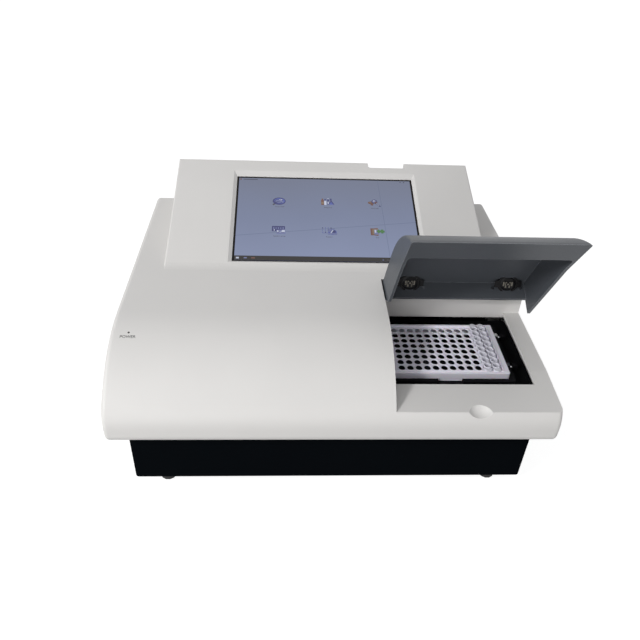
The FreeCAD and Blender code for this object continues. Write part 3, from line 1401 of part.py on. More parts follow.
def fibre_bundle():
    """Light guide: one tapering trunk from the filter unit with a leg down to each lens."""
    start_y = FILTER_WHEEL_Y - CLEARANCE
    end_y = well_y(WELL_ROWS) - 2 * FIBRE_LEG_RADIUS
    ferrule_end = FERRULE_POST_Y - OPTIC_BRACKET_SHEET
    ferrule = many_sided(SEAT_SIDE_COUNT, FIBRE_RADIUS, (OPTIC_X, start_y, FIBRE_Z),
                         (OPTIC_X, ferrule_end, FIBRE_Z))
    trunk = tapered(SEAT_SIDE_COUNT, FIBRE_RADIUS, FIBRE_END_RADIUS,
                    (OPTIC_X, ferrule_end, FIBRE_Z), (OPTIC_X, end_y, FIBRE_Z))
    foot = beam_top_z + LENS_BARREL_STAND
    legs = [many_sided(HEX_SIDE_COUNT, FIBRE_LEG_RADIUS, (OPTIC_X, well_y(row), foot),
                       (OPTIC_X, well_y(row), FIBRE_Z)) for row in range(1, WELL_ROWS + 1)]
    return fuse_all([ferrule, trunk] + legs)


def optics_bracket():
    """Channel-shaped bracket: a post for the light guide and a wall for motor and lamp."""
    sheet = OPTIC_BRACKET_SHEET
    top = FIBRE_Z + FIBRE_RADIUS + sheet
    foot = box(FILTER_WALL_LEFT_X, FILTER_WALL_RIGHT_X, FERRULE_POST_Y, FILTER_WALL_Y + sheet,
               CHASSIS_TOP_Z, CHASSIS_TOP_Z + sheet)
    post = box(OPTIC_X - FERRULE_POST_WIDTH / 2, OPTIC_X + FERRULE_POST_WIDTH / 2,
               FERRULE_POST_Y, FERRULE_POST_Y + sheet, CHASSIS_TOP_Z, top)
    wall = box(FILTER_WALL_LEFT_X, FILTER_WALL_RIGHT_X, FILTER_WALL_Y, FILTER_WALL_Y + sheet,
               CHASSIS_TOP_Z, top)
    holes = []
    for radius, y, z in (
        (FIBRE_RADIUS + LENS_FIT, FERRULE_POST_Y, FIBRE_Z),
        (LAMP_BORE_RADIUS, FILTER_WALL_Y, FIBRE_Z),
        (MOTOR_BOSS_RADIUS + LENS_FIT, FILTER_WALL_Y, filter_axis_z),
    ):
        holes.append(many_sided_hole(SEAT_SIDE_COUNT, radius, (OPTIC_X, y - 1, z),
                                     (OPTIC_X, y + sheet + 1, z)))
    return fuse_all([foot, post, wall]).cut(holes)


def filter_wheel():
    """Disc with eight stepped filter seats, on its own shaft."""
    y0 = FILTER_WHEEL_Y
    y1 = y0 + FILTER_WHEEL_THICKNESS
    disc = many_sided(ROUND_SIDE_COUNT, FILTER_WHEEL_RADIUS, (OPTIC_X, y0, filter_axis_z),
                      (OPTIC_X, y1, filter_axis_z))
    motor_front = FILTER_WALL_Y + OPTIC_BRACKET_SHEET
    shaft = many_sided(SEAT_SIDE_COUNT, FILTER_SHAFT_RADIUS, (OPTIC_X, y0 - 2, filter_axis_z),
                       (OPTIC_X, motor_front + FILTER_MOTOR_LENGTH / 2 - 1, filter_axis_z))
    cutters = []
    for x, z in filter_places():
        cutters.append(many_sided(
            FEW_SIDE_COUNT, FILTER_RADIUS - FILTER_LEDGE, (x, y0 - 1, z), (x, y1 + 1, z)))
        cutters.append(many_sided(
            FEW_SIDE_COUNT, FILTER_RADIUS + FILTER_FIT, (x, y0 + 1, z), (x, y1 + 1, z)))
    return fuse_all([disc, shaft]).cut(cutters)


def filter_places():
    places = []
    for number in range(FILTER_COUNT):
        angle = math.pi / 2 + 2 * math.pi * number / FILTER_COUNT
        places.append((OPTIC_X + FILTER_PITCH_RADIUS * math.cos(angle),
                       filter_axis_z + FILTER_PITCH_RADIUS * math.sin(angle)))
    return places


def filters():
    y0 = FILTER_WHEEL_Y + 1
    return Part.makeCompound([
        many_sided(FEW_SIDE_COUNT, FILTER_RADIUS, (x, y0, z), (x, y0 + FILTER_GLASS, z))
        for x, z in filter_places()
    ])


def filter_motor():
    front = FILTER_WALL_Y + OPTIC_BRACKET_SHEET
    return square_motor(OPTIC_X, filter_axis_z, front, FILTER_MOTOR_SIZE, FILTER_MOTOR_LENGTH,
                        FILTER_SHAFT_RADIUS)


def lamp_housing():
    """Finned lamp house behind the filter wheel, bored along the light path."""
    y0 = FILTER_WALL_Y + OPTIC_BRACKET_SHEET
    y1 = y0 + LAMP_BODY_LENGTH
    half = LAMP_BODY_WIDTH / 2
    body = box(OPTIC_X - half, OPTIC_X + half, y0, y1, FIBRE_Z - LAMP_BODY_DROP,
               FIBRE_Z + LAMP_BODY_RISE)
    bore = many_sided_hole(SEAT_SIDE_COUNT, LAMP_BORE_RADIUS, (OPTIC_X, y0 - 1, FIBRE_Z),
                           (OPTIC_X, y1 - 2 * COVER_WALL, FIBRE_Z))
    step = LAMP_BODY_LENGTH / LAMP_FIN_COUNT
    gaps = []
    for number in range(LAMP_FIN_COUNT):
        y = y0 + number * step + (step - LAMP_FIN_GAP)
        for side in (-1, 1):
            x0, x1 = sorted((side * half + OPTIC_X, side * (half - LAMP_FIN_DEPTH) + OPTIC_X))
            gaps.append(box(x0, x1, y, min(y + LAMP_FIN_GAP, y1),
                            FIBRE_Z - LAMP_BODY_DROP - 1, FIBRE_Z + LAMP_BODY_RISE + 1))
    return body.cut([bore] + gaps)


def condenser_lens():
    """Lens at the mouth of the lamp house, its two faces tapered to a thick middle."""
    start = FILTER_WALL_Y + OPTIC_BRACKET_SHEET
    radius = LAMP_BORE_RADIUS - LENS_FIT
    ys = [start + LENS_THICKNESS * part for part in (0, 0.25, 0.75, 1)]
    front, low, high, back = [(OPTIC_X, y, FIBRE_Z) for y in ys]
    return fuse_all([
        tapered(SEAT_SIDE_COUNT, radius, radius / 2, low, front),
        many_sided(SEAT_SIDE_COUNT, radius, low, high),
        tapered(SEAT_SIDE_COUNT, radius, radius / 2, high, back),
    ])


def lamp():
    """Halogen bulb with its ceramic base at the back of the lamp house's bore."""
    end = FILTER_WALL_Y + OPTIC_BRACKET_SHEET + LAMP_BODY_LENGTH - 2 * COVER_WALL
    front = end - BULB_BASE_LENGTH
    neck = front - BULB_LENGTH + BULB_RADIUS
    tip = neck - BULB_RADIUS
    places = [(OPTIC_X, y, FIBRE_Z) for y in (end, front, neck, tip)]
    return fuse_all([
        many_sided(SEAT_SIDE_COUNT, LAMP_BORE_RADIUS - LENS_FIT, places[0], places[1]),
        many_sided(SEAT_SIDE_COUNT, BULB_RADIUS, places[1], places[2]),
        tapered(SEAT_SIDE_COUNT, BULB_RADIUS, BULB_RADIUS / 3, places[2], places[3]),
    ])


def board_places():
    inset = 3 * STANDOFF_RADIUS / 2
    xs = (BOARD_LEFT_X + inset, BOARD_LEFT_X + BOARD_LENGTH - inset)
    ys = (BOARD_FRONT_Y + inset, BOARD_FRONT_Y + BOARD_DEPTH - inset)
    return [(x, y) for x in xs for y in ys]


def main_board():
    """Control board with its larger components."""
    z0 = base_floor_z + STANDOFF_HEIGHT
    z1 = z0 + BOARD_THICKNESS
    x = BOARD_LEFT_X
    y = BOARD_FRONT_Y
    board = box(x, x + BOARD_LENGTH, y, y + BOARD_DEPTH, z0, z1)
    parts = []
    for along, deep, length, depth, height in (
        (BOARD_LENGTH / 3, BOARD_DEPTH / 3, CHIP_SIZE, CHIP_SIZE, CHIP_HEIGHT),
        (BOARD_LENGTH * 0.6, BOARD_DEPTH / 2, CHIP_SIZE * 0.7, CHIP_SIZE / 2, CHIP_HEIGHT / 3),
        (BOARD_LENGTH / 12, BOARD_DEPTH / 5, HEADER_DEPTH, HEADER_LENGTH, HEADER_HEIGHT),
        (BOARD_LENGTH * 0.8, BOARD_DEPTH / 6, HEADER_DEPTH * 2, HEADER_LENGTH / 3, HEADER_HEIGHT),
    ):
        parts.append(box(x + along, x + along + length, y + deep, y + deep + depth, z1,
                         z1 + height))
    for place in (BOARD_LENGTH / 4, BOARD_LENGTH / 3):
        at = (x + place, y + BOARD_DEPTH * 0.8)
        parts.append(many_sided(SEAT_SIDE_COUNT, CAN_RADIUS, (*at, z1), (*at, z1 + CAN_HEIGHT)))
    return fuse_all([board] + parts)


def board_standoffs():
    """Six-sided spacers under the control board and under the detector board."""
    return Part.makeCompound([
        many_sided(HEX_SIDE_COUNT, STANDOFF_RADIUS, (x, y, base_floor_z),
                   (x, y, base_floor_z + STANDOFF_HEIGHT))
        for x, y in board_places()
    ] + detector_posts())


def power_supply():
    """Enclosed supply with a row of vent slots in its lid."""
    x0 = SUPPLY_LEFT_X
    y0 = SUPPLY_FRONT_Y
    case = box(x0, x0 + SUPPLY_LENGTH, y0, y0 + SUPPLY_DEPTH, base_floor_z,
               base_floor_z + SUPPLY_HEIGHT)
    slots = []
    for number in range(VENT_SLOT_COUNT):
        x = x0 + (number + 1) * SUPPLY_LENGTH / (VENT_SLOT_COUNT + 1)
        slots.append(box(x, x + VENT_SLOT_WIDTH, y0 + SUPPLY_DEPTH / 4,
                         y0 + SUPPLY_DEPTH * 0.75, base_floor_z + SUPPLY_HEIGHT - BASE_SHEET,
                         base_floor_z + SUPPLY_HEIGHT + 1))
    return case.cut(slots)


def back_module(x, z, width, height, depth, bezel, wall):
    """Snap-in module: a body through the back panel and a bezel outside it."""
    panel_y = BASE_BACK_Y
    body = box(x - width / 2 + LENS_FIT, x + width / 2 - LENS_FIT, panel_y - depth, panel_y,
               z - height / 2 + LENS_FIT, z + height / 2 - LENS_FIT)
    flange = box(x - width / 2 - wall, x + width / 2 + wall, panel_y, panel_y + bezel,
                 z - height / 2 - wall, z + height / 2 + wall)
    return fuse_all([body, flange])


def power_inlet():
    """Three-pole mains inlet with its chamfered cavity and pins."""
    module = back_module(INLET_X, INLET_Z, INLET_WIDTH, INLET_HEIGHT, INLET_DEPTH,
                         INLET_BEZEL, INLET_BEZEL)
    front = BASE_BACK_Y + INLET_BEZEL
    floor = front - INLET_CAVITY_DEPTH
    cavity = box(INLET_X - INLET_CAVITY_WIDTH / 2, INLET_X + INLET_CAVITY_WIDTH / 2,
                 floor, front + 1, INLET_Z - INLET_CAVITY_HEIGHT / 2,
                 INLET_Z + INLET_CAVITY_HEIGHT / 2)
    cavity = cavity.makeChamfer(INLET_CORNER, [
        edge for edge in cavity.Edges
        if runs_along(Y_AXIS, edge) and edge.CenterOfMass.z > INLET_Z
    ])
    module = module.cut(cavity)
    pins = []
    for side in (-1, 0, 1):
        x = INLET_X + side * INLET_PIN_SPREAD
        z = INLET_Z + INLET_PIN_RAISE * (1 - 2 * abs(side))
        pins.append(box(x - 1, x + 1, floor, front - INLET_PIN_DROP, z - 2, z + 2))
    return fuse_all([module] + pins)


def switch_frame():
    """Bezel and well of the power switch."""
    module = back_module(SWITCH_X, INLET_Z, SWITCH_WIDTH, SWITCH_HEIGHT, SWITCH_DEPTH,
                         SWITCH_BEZEL, SWITCH_BEZEL)
    half_x = SWITCH_WIDTH / 2 - SWITCH_WALL
    half_z = SWITCH_HEIGHT / 2 - SWITCH_WALL
    well = box(SWITCH_X - half_x, SWITCH_X + half_x, BASE_BACK_Y - SWITCH_DEPTH + 2,
               BASE_BACK_Y + SWITCH_BEZEL + 1, INLET_Z - half_z, INLET_Z + half_z)
    pin_half = half_x + ROCKER_PIN_SEAT + CLEARANCE
    pivot_y = BASE_BACK_Y - ROCKER_PIVOT_DEPTH
    pivot = many_sided_hole(
        FEW_SIDE_COUNT, ROCKER_PIN_RADIUS + BUSH_CLEARANCE, (SWITCH_X - pin_half, pivot_y, INLET_Z),
        (SWITCH_X + pin_half, pivot_y, INLET_Z))
    return module.cut([well, pivot])


def rocker():
    """Rocker with two sloping faces, turning on a pin across the switch's well."""
    half_x = SWITCH_WIDTH / 2 - SWITCH_WALL - ROCKER_GAP
    half_z = SWITCH_HEIGHT / 2 - SWITCH_WALL
    pivot_y = BASE_BACK_Y - ROCKER_PIVOT_DEPTH
    radius = ROCKER_RADIUS
    face_y = BASE_BACK_Y + SWITCH_BEZEL
    body = rod(radius, (SWITCH_X - half_x, pivot_y, INLET_Z), (SWITCH_X + half_x, pivot_y, INLET_Z))
    room = half_z - ROCKER_GAP - ROCKER_SWING
    band = box(SWITCH_X - half_x, SWITCH_X + half_x, pivot_y - ROCKER_BACK, face_y + 2,
               INLET_Z - room, INLET_Z + room)
    body = body.common(band)
    dish_y = face_y + ROCKER_DISH_RADIUS - 1
    dish = rod(ROCKER_DISH_RADIUS, (SWITCH_X - half_x - 1, dish_y, INLET_Z),
               (SWITCH_X + half_x + 1, dish_y, INLET_Z))
    pin_half = half_x + ROCKER_GAP + ROCKER_PIN_SEAT
    pin = many_sided(FEW_SIDE_COUNT, ROCKER_PIN_RADIUS, (SWITCH_X - pin_half, pivot_y, INLET_Z),
                     (SWITCH_X + pin_half, pivot_y, INLET_Z))
    body = fuse_all([body.cut(dish), pin])
    body.rotate(VECTOR(SWITCH_X, pivot_y, INLET_Z), X_AXIS, ROCKER_TILT)
    return body


def data_ports():
    """Port plate with two square sockets and one wide one."""
    plate = back_module(PORTS_X, PORTS_Z, PORTS_WIDTH, PORTS_HEIGHT, PORTS_DEPTH,
                        PORTS_STAND, PORTS_STAND)
    front = BASE_BACK_Y + PORTS_STAND
    sockets = []
    left = PORTS_X - PORTS_WIDTH / 2
    places = (
        (left + PORT_FIRST, USB_WIDTH, USB_HEIGHT),
        (left + PORT_SECOND, USB_WIDTH, USB_HEIGHT),
        (left + PORT_THIRD, SERIAL_WIDTH, SERIAL_HEIGHT),
    )
    for x, width, height in places:
        sockets.append(box(x - width / 2, x + width / 2, front - PORT_SOCKET_DEPTH, front + 1,
                           PORTS_Z - height / 2, PORTS_Z + height / 2))
    return plate.cut(sockets)


def fan_frame():
    """Square fan housing with four struts to the motor seat."""
    y1 = fan_back_y
    y0 = y1 - FAN_DEPTH
    half = FAN_SIZE / 2
    frame = box(FAN_X - half, FAN_X + half, y0, y1, FAN_Z - half, FAN_Z + half)
    frame = frame.makeChamfer(MOTOR_CORNER, [
        edge for edge in frame.Edges if runs_along(Y_AXIS, edge)])
    duct = many_sided_hole(
        ROUND_SIDE_COUNT, FAN_BORE_RADIUS, (FAN_X, y0 - 1, FAN_Z), (FAN_X, y1 + 1, FAN_Z))
    frame = frame.cut(duct)
    seat = many_sided(
        SEAT_SIDE_COUNT, FAN_HUB_RADIUS, (FAN_X, y0, FAN_Z), (FAN_X, y0 + FAN_STRUT_DEPTH, FAN_Z))
    width = FAN_STRUT_WIDTH / 2
    reach = FAN_BORE_RADIUS + 1
    bars = [
        box(FAN_X - reach, FAN_X + reach, y0, y0 + FAN_STRUT_DEPTH, FAN_Z - width, FAN_Z + width),
        box(FAN_X - width, FAN_X + width, y0, y0 + FAN_STRUT_DEPTH, FAN_Z - reach, FAN_Z + reach),
    ]
    bore = many_sided_hole(SEAT_SIDE_COUNT, FAN_SHAFT_RADIUS + SHAFT_CLEARANCE,
                           (FAN_X, y0 - 1, FAN_Z), (FAN_X, y0 + FAN_STRUT_DEPTH + 1, FAN_Z))
    return fuse_all([frame, seat] + bars).cut(bore)


def fan_rotor():
    """Hub with seven pitched blades."""
    y0 = fan_back_y - FAN_DEPTH + FAN_STRUT_DEPTH + FAN_BLADE_GAP
    y1 = fan_back_y - FAN_BLADE_GAP
    hub = many_sided(SEAT_SIDE_COUNT, FAN_HUB_RADIUS, (FAN_X, y0, FAN_Z), (FAN_X, y1, FAN_Z))
    tip = FAN_BORE_RADIUS - FAN_BLADE_GAP
    sleeve = many_sided(ROUND_SIDE_COUNT, tip, (FAN_X, y0, FAN_Z), (FAN_X, y1, FAN_Z))
    depth = y1 - y0
    blades = []
    for number in range(FAN_BLADES):
        blade = box(-FAN_BLADE_THICKNESS / 2, FAN_BLADE_THICKNESS / 2, -depth, depth,
                    FAN_HUB_RADIUS - 2, tip + 1)
        blade.rotate(VECTOR(0, 0, 0), Z_AXIS, FAN_BLADE_PITCH)
        blade.rotate(VECTOR(0, 0, 0), Y_AXIS, 360 * number / FAN_BLADES)
        blade.translate(VECTOR(FAN_X, (y0 + y1) / 2, FAN_Z))
        blades.append(blade.common(sleeve))
    shaft = many_sided(
        SEAT_SIDE_COUNT, FAN_SHAFT_RADIUS, (FAN_X, y0 - FAN_BLADE_GAP - FAN_STRUT_DEPTH, FAN_Z),
        (FAN_X, y0, FAN_Z))
    return fuse_all([hub, shaft] + blades)


def build():
    pieces = {
        "base_tray": base_tray(),
        "feet": feet(),
        "main_cover": main_cover(),
        "cover_screws": cover_screws(),
        "display_glass": display_glass(),
        "lcd_panel": lcd_panel(),
        "display_bracket": display_bracket(),
        "power_indicator": power_indicator(),
        "chassis_plate": chassis_plate(),
        "chassis_pillars": chassis_pillars(),
        "guide_rod_front": guide_rod(ROD_FRONT_Y),
        "guide_rod_back": guide_rod(ROD_BACK_Y),
        "rod_support_left": rod_support(ROD_LEFT_X),
        "rod_support_right": rod_support(ROD_RIGHT_X - SUPPORT_THICKNESS),
        "drive_motor": drive_motor(),
        "motor_bracket": motor_bracket(),
        "motor_shaft": motor_shaft(),
        "drive_pulley": pulley(DRIVE_PULLEY_X, SHAFT_RADIUS + LENS_FIT),
        "idler_bracket": idler_bracket(),
        "idler_pulley": pulley(IDLER_X, SHAFT_RADIUS + SHAFT_CLEARANCE),
        "drive_belt": drive_belt(),
        "belt_clamp": belt_clamp(),
        "plate_carrier": plate_carrier(),
        "carriage_block_front": carriage_block(ROD_FRONT_Y),
        "carriage_block_back": carriage_block(ROD_BACK_Y),
        "carriage_bushes": carriage_bushes(),
        "clamp_guides": clamp_guides(),
        "plate_clamp_front": plate_clamp(clamp_places()[0]),
        "plate_clamp_back": plate_clamp(clamp_places()[1]),
        "microplate_frame": microplate_frame(),
        "optics_bridge": optics_bridge(),
        "lens_barrels": lens_barrels(),
        "detector_board": detector_board(),
        "fibre_bundle": fibre_bundle(),
        "optics_bracket": optics_bracket(),
        "filter_wheel": filter_wheel(),
        "filters": filters(),
        "filter_motor": filter_motor(),
        "lamp_housing": lamp_housing(),
        "condenser_lens": condenser_lens(),
        "lamp": lamp(),
        "main_board": main_board(),
        "board_standoffs": board_standoffs(),
        "power_supply": power_supply(),
        "power_inlet": power_inlet(),
        "switch_frame": switch_frame(),
        "rocker": rocker(),
        "data_ports": data_ports(),
        "fan_frame": fan_frame(),
        "fan_rotor": fan_rotor(),
        "lid": lid(),
        "hinge_screws": hinge_screws(),
    }
    for column in STRIP_COLUMNS:
        pieces["well_strip_%d" % column] = well_strip(column)
    for side, x in (("left", HINGE_LEFT_X), ("right", hinge_right_x)):
        pieces["hinge_arm_" + side] = hinge_arm(x)
        pieces["hinge_cup_" + side] = hinge_cup(x)
        pieces["hinge_pin_" + side] = hinge_pin(x)
    return pieces


os.makedirs("parts", exist_ok=True)
for name, shape in build().items():
    print(name, "solids", len(shape.Solids), "volume", round(shape.Volume), "valid", shape.isValid())
    shape.exportStep(os.path.join("parts", name + ".step"))
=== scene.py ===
# %% [markdown]
# # A microplate reader in its studio picture
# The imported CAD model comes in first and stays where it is. Every piece made here is
# placed from the same sizes, in metres, so nothing has to be fitted by eye.

# %% Load the frame
import math

import bmesh
import bpy
from mathutils import Matrix, Vector


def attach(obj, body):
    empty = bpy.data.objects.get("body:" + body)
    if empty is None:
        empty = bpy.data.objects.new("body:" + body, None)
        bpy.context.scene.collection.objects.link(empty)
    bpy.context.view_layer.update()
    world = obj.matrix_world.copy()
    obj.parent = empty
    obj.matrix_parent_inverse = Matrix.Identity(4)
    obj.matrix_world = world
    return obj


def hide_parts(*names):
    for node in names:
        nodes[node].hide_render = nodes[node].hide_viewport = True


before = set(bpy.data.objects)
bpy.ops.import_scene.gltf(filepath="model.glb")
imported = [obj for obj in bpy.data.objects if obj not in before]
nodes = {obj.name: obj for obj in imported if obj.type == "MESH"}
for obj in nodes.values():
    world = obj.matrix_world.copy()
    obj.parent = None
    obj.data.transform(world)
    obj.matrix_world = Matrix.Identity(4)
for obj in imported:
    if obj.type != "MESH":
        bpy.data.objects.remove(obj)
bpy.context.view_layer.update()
MM = 0.001


# %% [markdown]
# ## Camera
# The photograph was taken from above the front left, close enough for the back of the
# machine to look clearly smaller than its front. A camera placed by its yaw, pitch and
# roll gives exactly that view, where tracking a target would lose the small roll.

# %% Place the camera
CAMERA_PLACE = Vector((-51.88, -609.99, 550.22)) * MM
CAMERA_YAW = math.radians(-4.11)
CAMERA_PITCH = math.radians(36.63)
CAMERA_ROLL = math.radians(2.98)
CAMERA_LENS = 36.054


def camera_turn(yaw, pitch, roll):
    """Rotation whose columns are the camera's right, up and backward directions."""
    level = Matrix.Rotation(yaw, 3, "Z")
    tipped = level @ Matrix.Rotation(math.pi / 2 - pitch, 3, "X")
    return tipped @ Matrix.Rotation(roll, 3, "Z")


camera_data = bpy.data.cameras.new("photo_camera")
camera_data.lens = CAMERA_LENS
camera_data.sensor_width = 36.0
camera_data.clip_start = 0.01
camera = bpy.data.objects.new("photo_camera", camera_data)
camera.matrix_world = (
    Matrix.Translation(CAMERA_PLACE)
    @ camera_turn(CAMERA_YAW, CAMERA_PITCH, CAMERA_ROLL).to_4x4()
)
bpy.context.scene.collection.objects.link(camera)
bpy.context.scene.camera = camera
bpy.context.scene.view_settings.view_transform = "Standard"
print("camera at", [round(v, 3) for v in CAMERA_PLACE])


# %% [markdown]
# ## Light
# A product picture like this is lit by a broad soft lamp from the upper left, a low one
# in front that reaches under the open lid, and a bright room. The room is the world
# colour, brighter on the side that ROOM_SIDE points to. The camera, mirror and glass
# rays see it pure white, while the object is lit by a dimmer one, so pale plastic keeps
# its shades.

# %% Light the room
ROOM_LEVEL = 0.39
ROOM_SIDE = (-0.4, -0.2, 0.25)
ROOM_TINT = (0.97, 0.98, 1.0, 1)


def maths(tree, operation, first, second):
    """A Math node. Each input is a socket or a number."""
    node = tree.nodes.new("ShaderNodeMath")
    node.operation = operation
    for index, value in enumerate((first, second)):
        if isinstance(value, bpy.types.NodeSocket):
            tree.links.new(value, node.inputs[index])
        else:
            node.inputs[index].default_value = value
    return node.outputs[0]


def white_for_the_camera(tree):
    """A mask that is 1 for rays that go to the camera or leave a mirror or glass."""
    path = tree.nodes.new("ShaderNodeLightPath")
    direct = maths(
        tree, "MAXIMUM", path.outputs["Is Camera Ray"], path.outputs["Is Glossy Ray"])
    return maths(tree, "MAXIMUM", direct, path.outputs["Is Transmission Ray"])


world = bpy.data.worlds.new("bright_room")
world.use_nodes = True
bpy.context.scene.world = world
tree = world.node_tree
tree.nodes.clear()
lighting = tree.nodes.new("ShaderNodeBackground")
lighting.inputs["Color"].default_value = ROOM_TINT
direction = tree.nodes.new("ShaderNodeTexCoord")
side = tree.nodes.new("ShaderNodeVectorMath")
side.operation = "DOT_PRODUCT"
side.inputs[1].default_value = ROOM_SIDE
tree.links.new(direction.outputs["Generated"], side.inputs[0])
level = tree.nodes.new("ShaderNodeMath")
level.operation = "MULTIPLY_ADD"
level.inputs[1].default_value = ROOM_LEVEL
level.inputs[2].default_value = ROOM_LEVEL
tree.links.new(side.outputs["Value"], level.inputs[0])
tree.links.new(level.outputs[0], lighting.inputs["Strength"])
seen = tree.nodes.new("ShaderNodeBackground")
seen.inputs["Color"].default_value = (1, 1, 1, 1)
seen.inputs["Strength"].default_value = 1.0
choose = tree.nodes.new("ShaderNodeMixShader")
tree.links.new(white_for_the_camera(tree), choose.inputs[0])
tree.links.new(lighting.outputs[0], choose.inputs[1])
tree.links.new(seen.outputs[0], choose.inputs[2])
world_out = tree.nodes.new("ShaderNodeOutputWorld")
tree.links.new(choose.outputs[0], world_out.inputs["Surface"])


def soft_lamp(name, place, aim, size, power):
    data = bpy.data.lights.new(name, "AREA")
    data.shape = "DISK"
    data.size = size
    data.energy = power
    lamp = bpy.data.objects.new(name, data)
    place = Vector(place)
    turn = (place - Vector(aim)).to_track_quat("Z", "Y")
    lamp.matrix_world = Matrix.Translation(place) @ turn.to_matrix().to_4x4()
    bpy.context.scene.collection.objects.link(lamp)
    return lamp


soft_lamp("key_lamp", (-1.45, -1.1, 1.35), (0, 0, 0.1), 0.4, 22)
soft_lamp("front_lamp", (-0.5, -1.7, 0.2), (0, 0, 0.2), 0.9, 9)
print("room level", ROOM_LEVEL)


# %% [markdown]
# ## Floor
# The machine stands on a plain white table that runs out of sight. The table keeps the
# soft shadow of the case, and a little light of its own for the camera makes the rest
# of it as white as the room behind.

# %% Lay the floor
FLOOR_GLOW = 0.90
TABLE_GREY = 0.25
TABLE_HALF = 30.0

floor_mesh = bpy.data.meshes.new("table_top")
shape = bmesh.new()
bmesh.ops.create_grid(shape, x_segments=2, y_segments=2, size=TABLE_HALF)
shape.to_mesh(floor_mesh)
shape.free()
floor = bpy.data.objects.new("table_top", floor_mesh)
bpy.context.scene.collection.objects.link(floor)
floor_paint = bpy.data.materials.new("table_white")
floor_paint.use_nodes = True
tree = floor_paint.node_tree
paint = tree.nodes["Principled BSDF"]
paint.inputs["Base Color"].default_value = (TABLE_GREY, TABLE_GREY, TABLE_GREY, 1)
paint.inputs["Roughness"].default_value = 0.9
paint.inputs["Emission Color"].default_value = (1, 1, 1, 1)
glow = maths(tree, "MULTIPLY", white_for_the_camera(tree), FLOOR_GLOW)
tree.links.new(glow, paint.inputs["Emission Strength"])
floor_mesh.materials.append(floor_paint)
print("floor", [round(v, 2) for v in floor.dimensions])


# %% [markdown]
# ## Shared surface effects
# Several finishes share one way of varying. A shader group holds each way once, with
# named inputs, and every material places it with its own values. This keeps the
# materials short and lets one mended group mend them all.

# %% A helper that starts a shader group
KINDS = {"colour": "NodeSocketColor", "value": "NodeSocketFloat", "vector": "NodeSocketVector"}


def start_group(name, inputs, outputs):
    """A new shader group with named sockets. Each input is (label, kind, default)."""
    group = bpy.data.node_groups.new(name, "ShaderNodeTree")
    for label, kind, default in inputs:
        socket = group.interface.new_socket(label, in_out="INPUT", socket_type=KINDS[kind])
        socket.default_value = default
    for label, kind in outputs:
        group.interface.new_socket(label, in_out="OUTPUT", socket_type=KINDS[kind])
    inside = group.nodes.new("NodeGroupInput")
    outside = group.nodes.new("NodeGroupOutput")
    return group, inside, outside


def noise(tree, vector, scale, detail=2.0):
    """A noise texture's value, centred on zero."""
    node = tree.nodes.new("ShaderNodeTexNoise")
    node.inputs["Detail"].default_value = detail
    tree.links.new(vector, node.inputs["Vector"])
    if isinstance(scale, bpy.types.NodeSocket):
        tree.links.new(scale, node.inputs["Scale"])
    else:
        node.inputs["Scale"].default_value = scale
    return maths(tree, "SUBTRACT", node.outputs["Fac"], 0.5)


# %% [markdown]
# A moulded or powder-coated skin has a fine even pebble, and over a hand's width its
# colour drifts very slightly. One noise gives the pebble and a coarse one the drift.

# %% Pebbled skin
pebble, inside, outside = start_group(
    "pebbled_skin",
    [("Colour", "colour", (0.8, 0.8, 0.8, 1)), ("Drift", "value", 0.04),
     ("Grain", "value", 900.0), ("Roughness", "value", 0.5), ("Spread", "value", 0.15)],
    [("Colour", "colour"), ("Roughness", "value"), ("Height", "value")],
)
place = pebble.nodes.new("ShaderNodeTexCoord").outputs["Object"]
slow = noise(pebble, place, 14.0, 3.0)
fine = noise(pebble, place, inside.outputs["Grain"], 1.5)
amount = maths(pebble, "MULTIPLY", slow, inside.outputs["Drift"])
level = maths(pebble, "ADD", maths(pebble, "MULTIPLY", amount, 2.0), 1.0)
tint = pebble.nodes.new("ShaderNodeVectorMath")
tint.operation = "SCALE"
pebble.links.new(inside.outputs["Colour"], tint.inputs[0])
pebble.links.new(level, tint.inputs["Scale"])
pebble.links.new(tint.outputs[0], outside.inputs["Colour"])
uneven = maths(pebble, "MULTIPLY", maths(pebble, "ADD", fine, slow), inside.outputs["Spread"])
pebble.links.new(maths(pebble, "ADD", inside.outputs["Roughness"], uneven),
                 outside.inputs["Roughness"])
pebble.links.new(maths(pebble, "ADD", fine, 0.5), outside.inputs["Height"])
print("group", pebble.name)


# %% [markdown]
# Turned, rolled or ground metal carries marks in one direction. The same noise does it
# when the coordinates are squeezed along the marks.

# %% Tool marks
marks, inside, outside = start_group(
    "tool_marks",
    [("Colour", "colour", (0.6, 0.6, 0.6, 1)), ("Drift", "value", 0.1),
     ("Squeeze", "vector", (1.0, 40.0, 40.0)), ("Roughness", "value", 0.3),
     ("Spread", "value", 0.25)],
    [("Colour", "colour"), ("Roughness", "value"), ("Height", "value")],
)
place = marks.nodes.new("ShaderNodeTexCoord").outputs["Object"]
stretch = marks.nodes.new("ShaderNodeVectorMath")
stretch.operation = "MULTIPLY"
marks.links.new(place, stretch.inputs[0])
marks.links.new(inside.outputs["Squeeze"], stretch.inputs[1])
lines = noise(marks, stretch.outputs[0], 60.0, 4.0)
slow = noise(marks, place, 22.0, 3.0)
both = maths(marks, "ADD", lines, slow)
level = maths(marks, "ADD", maths(marks, "MULTIPLY", both, inside.outputs["Drift"]), 1.0)
tint = marks.nodes.new("ShaderNodeVectorMath")
tint.operation = "SCALE"
marks.links.new(inside.outputs["Colour"], tint.inputs[0])
marks.links.new(level, tint.inputs["Scale"])
marks.links.new(tint.outputs[0], outside.inputs["Colour"])
uneven = maths(marks, "MULTIPLY", both, inside.outputs["Spread"])
marks.links.new(maths(marks, "ADD", inside.outputs["Roughness"], uneven),
                outside.inputs["Roughness"])
marks.links.new(maths(marks, "ADD", lines, 0.5), outside.inputs["Height"])
print("group", marks.name)


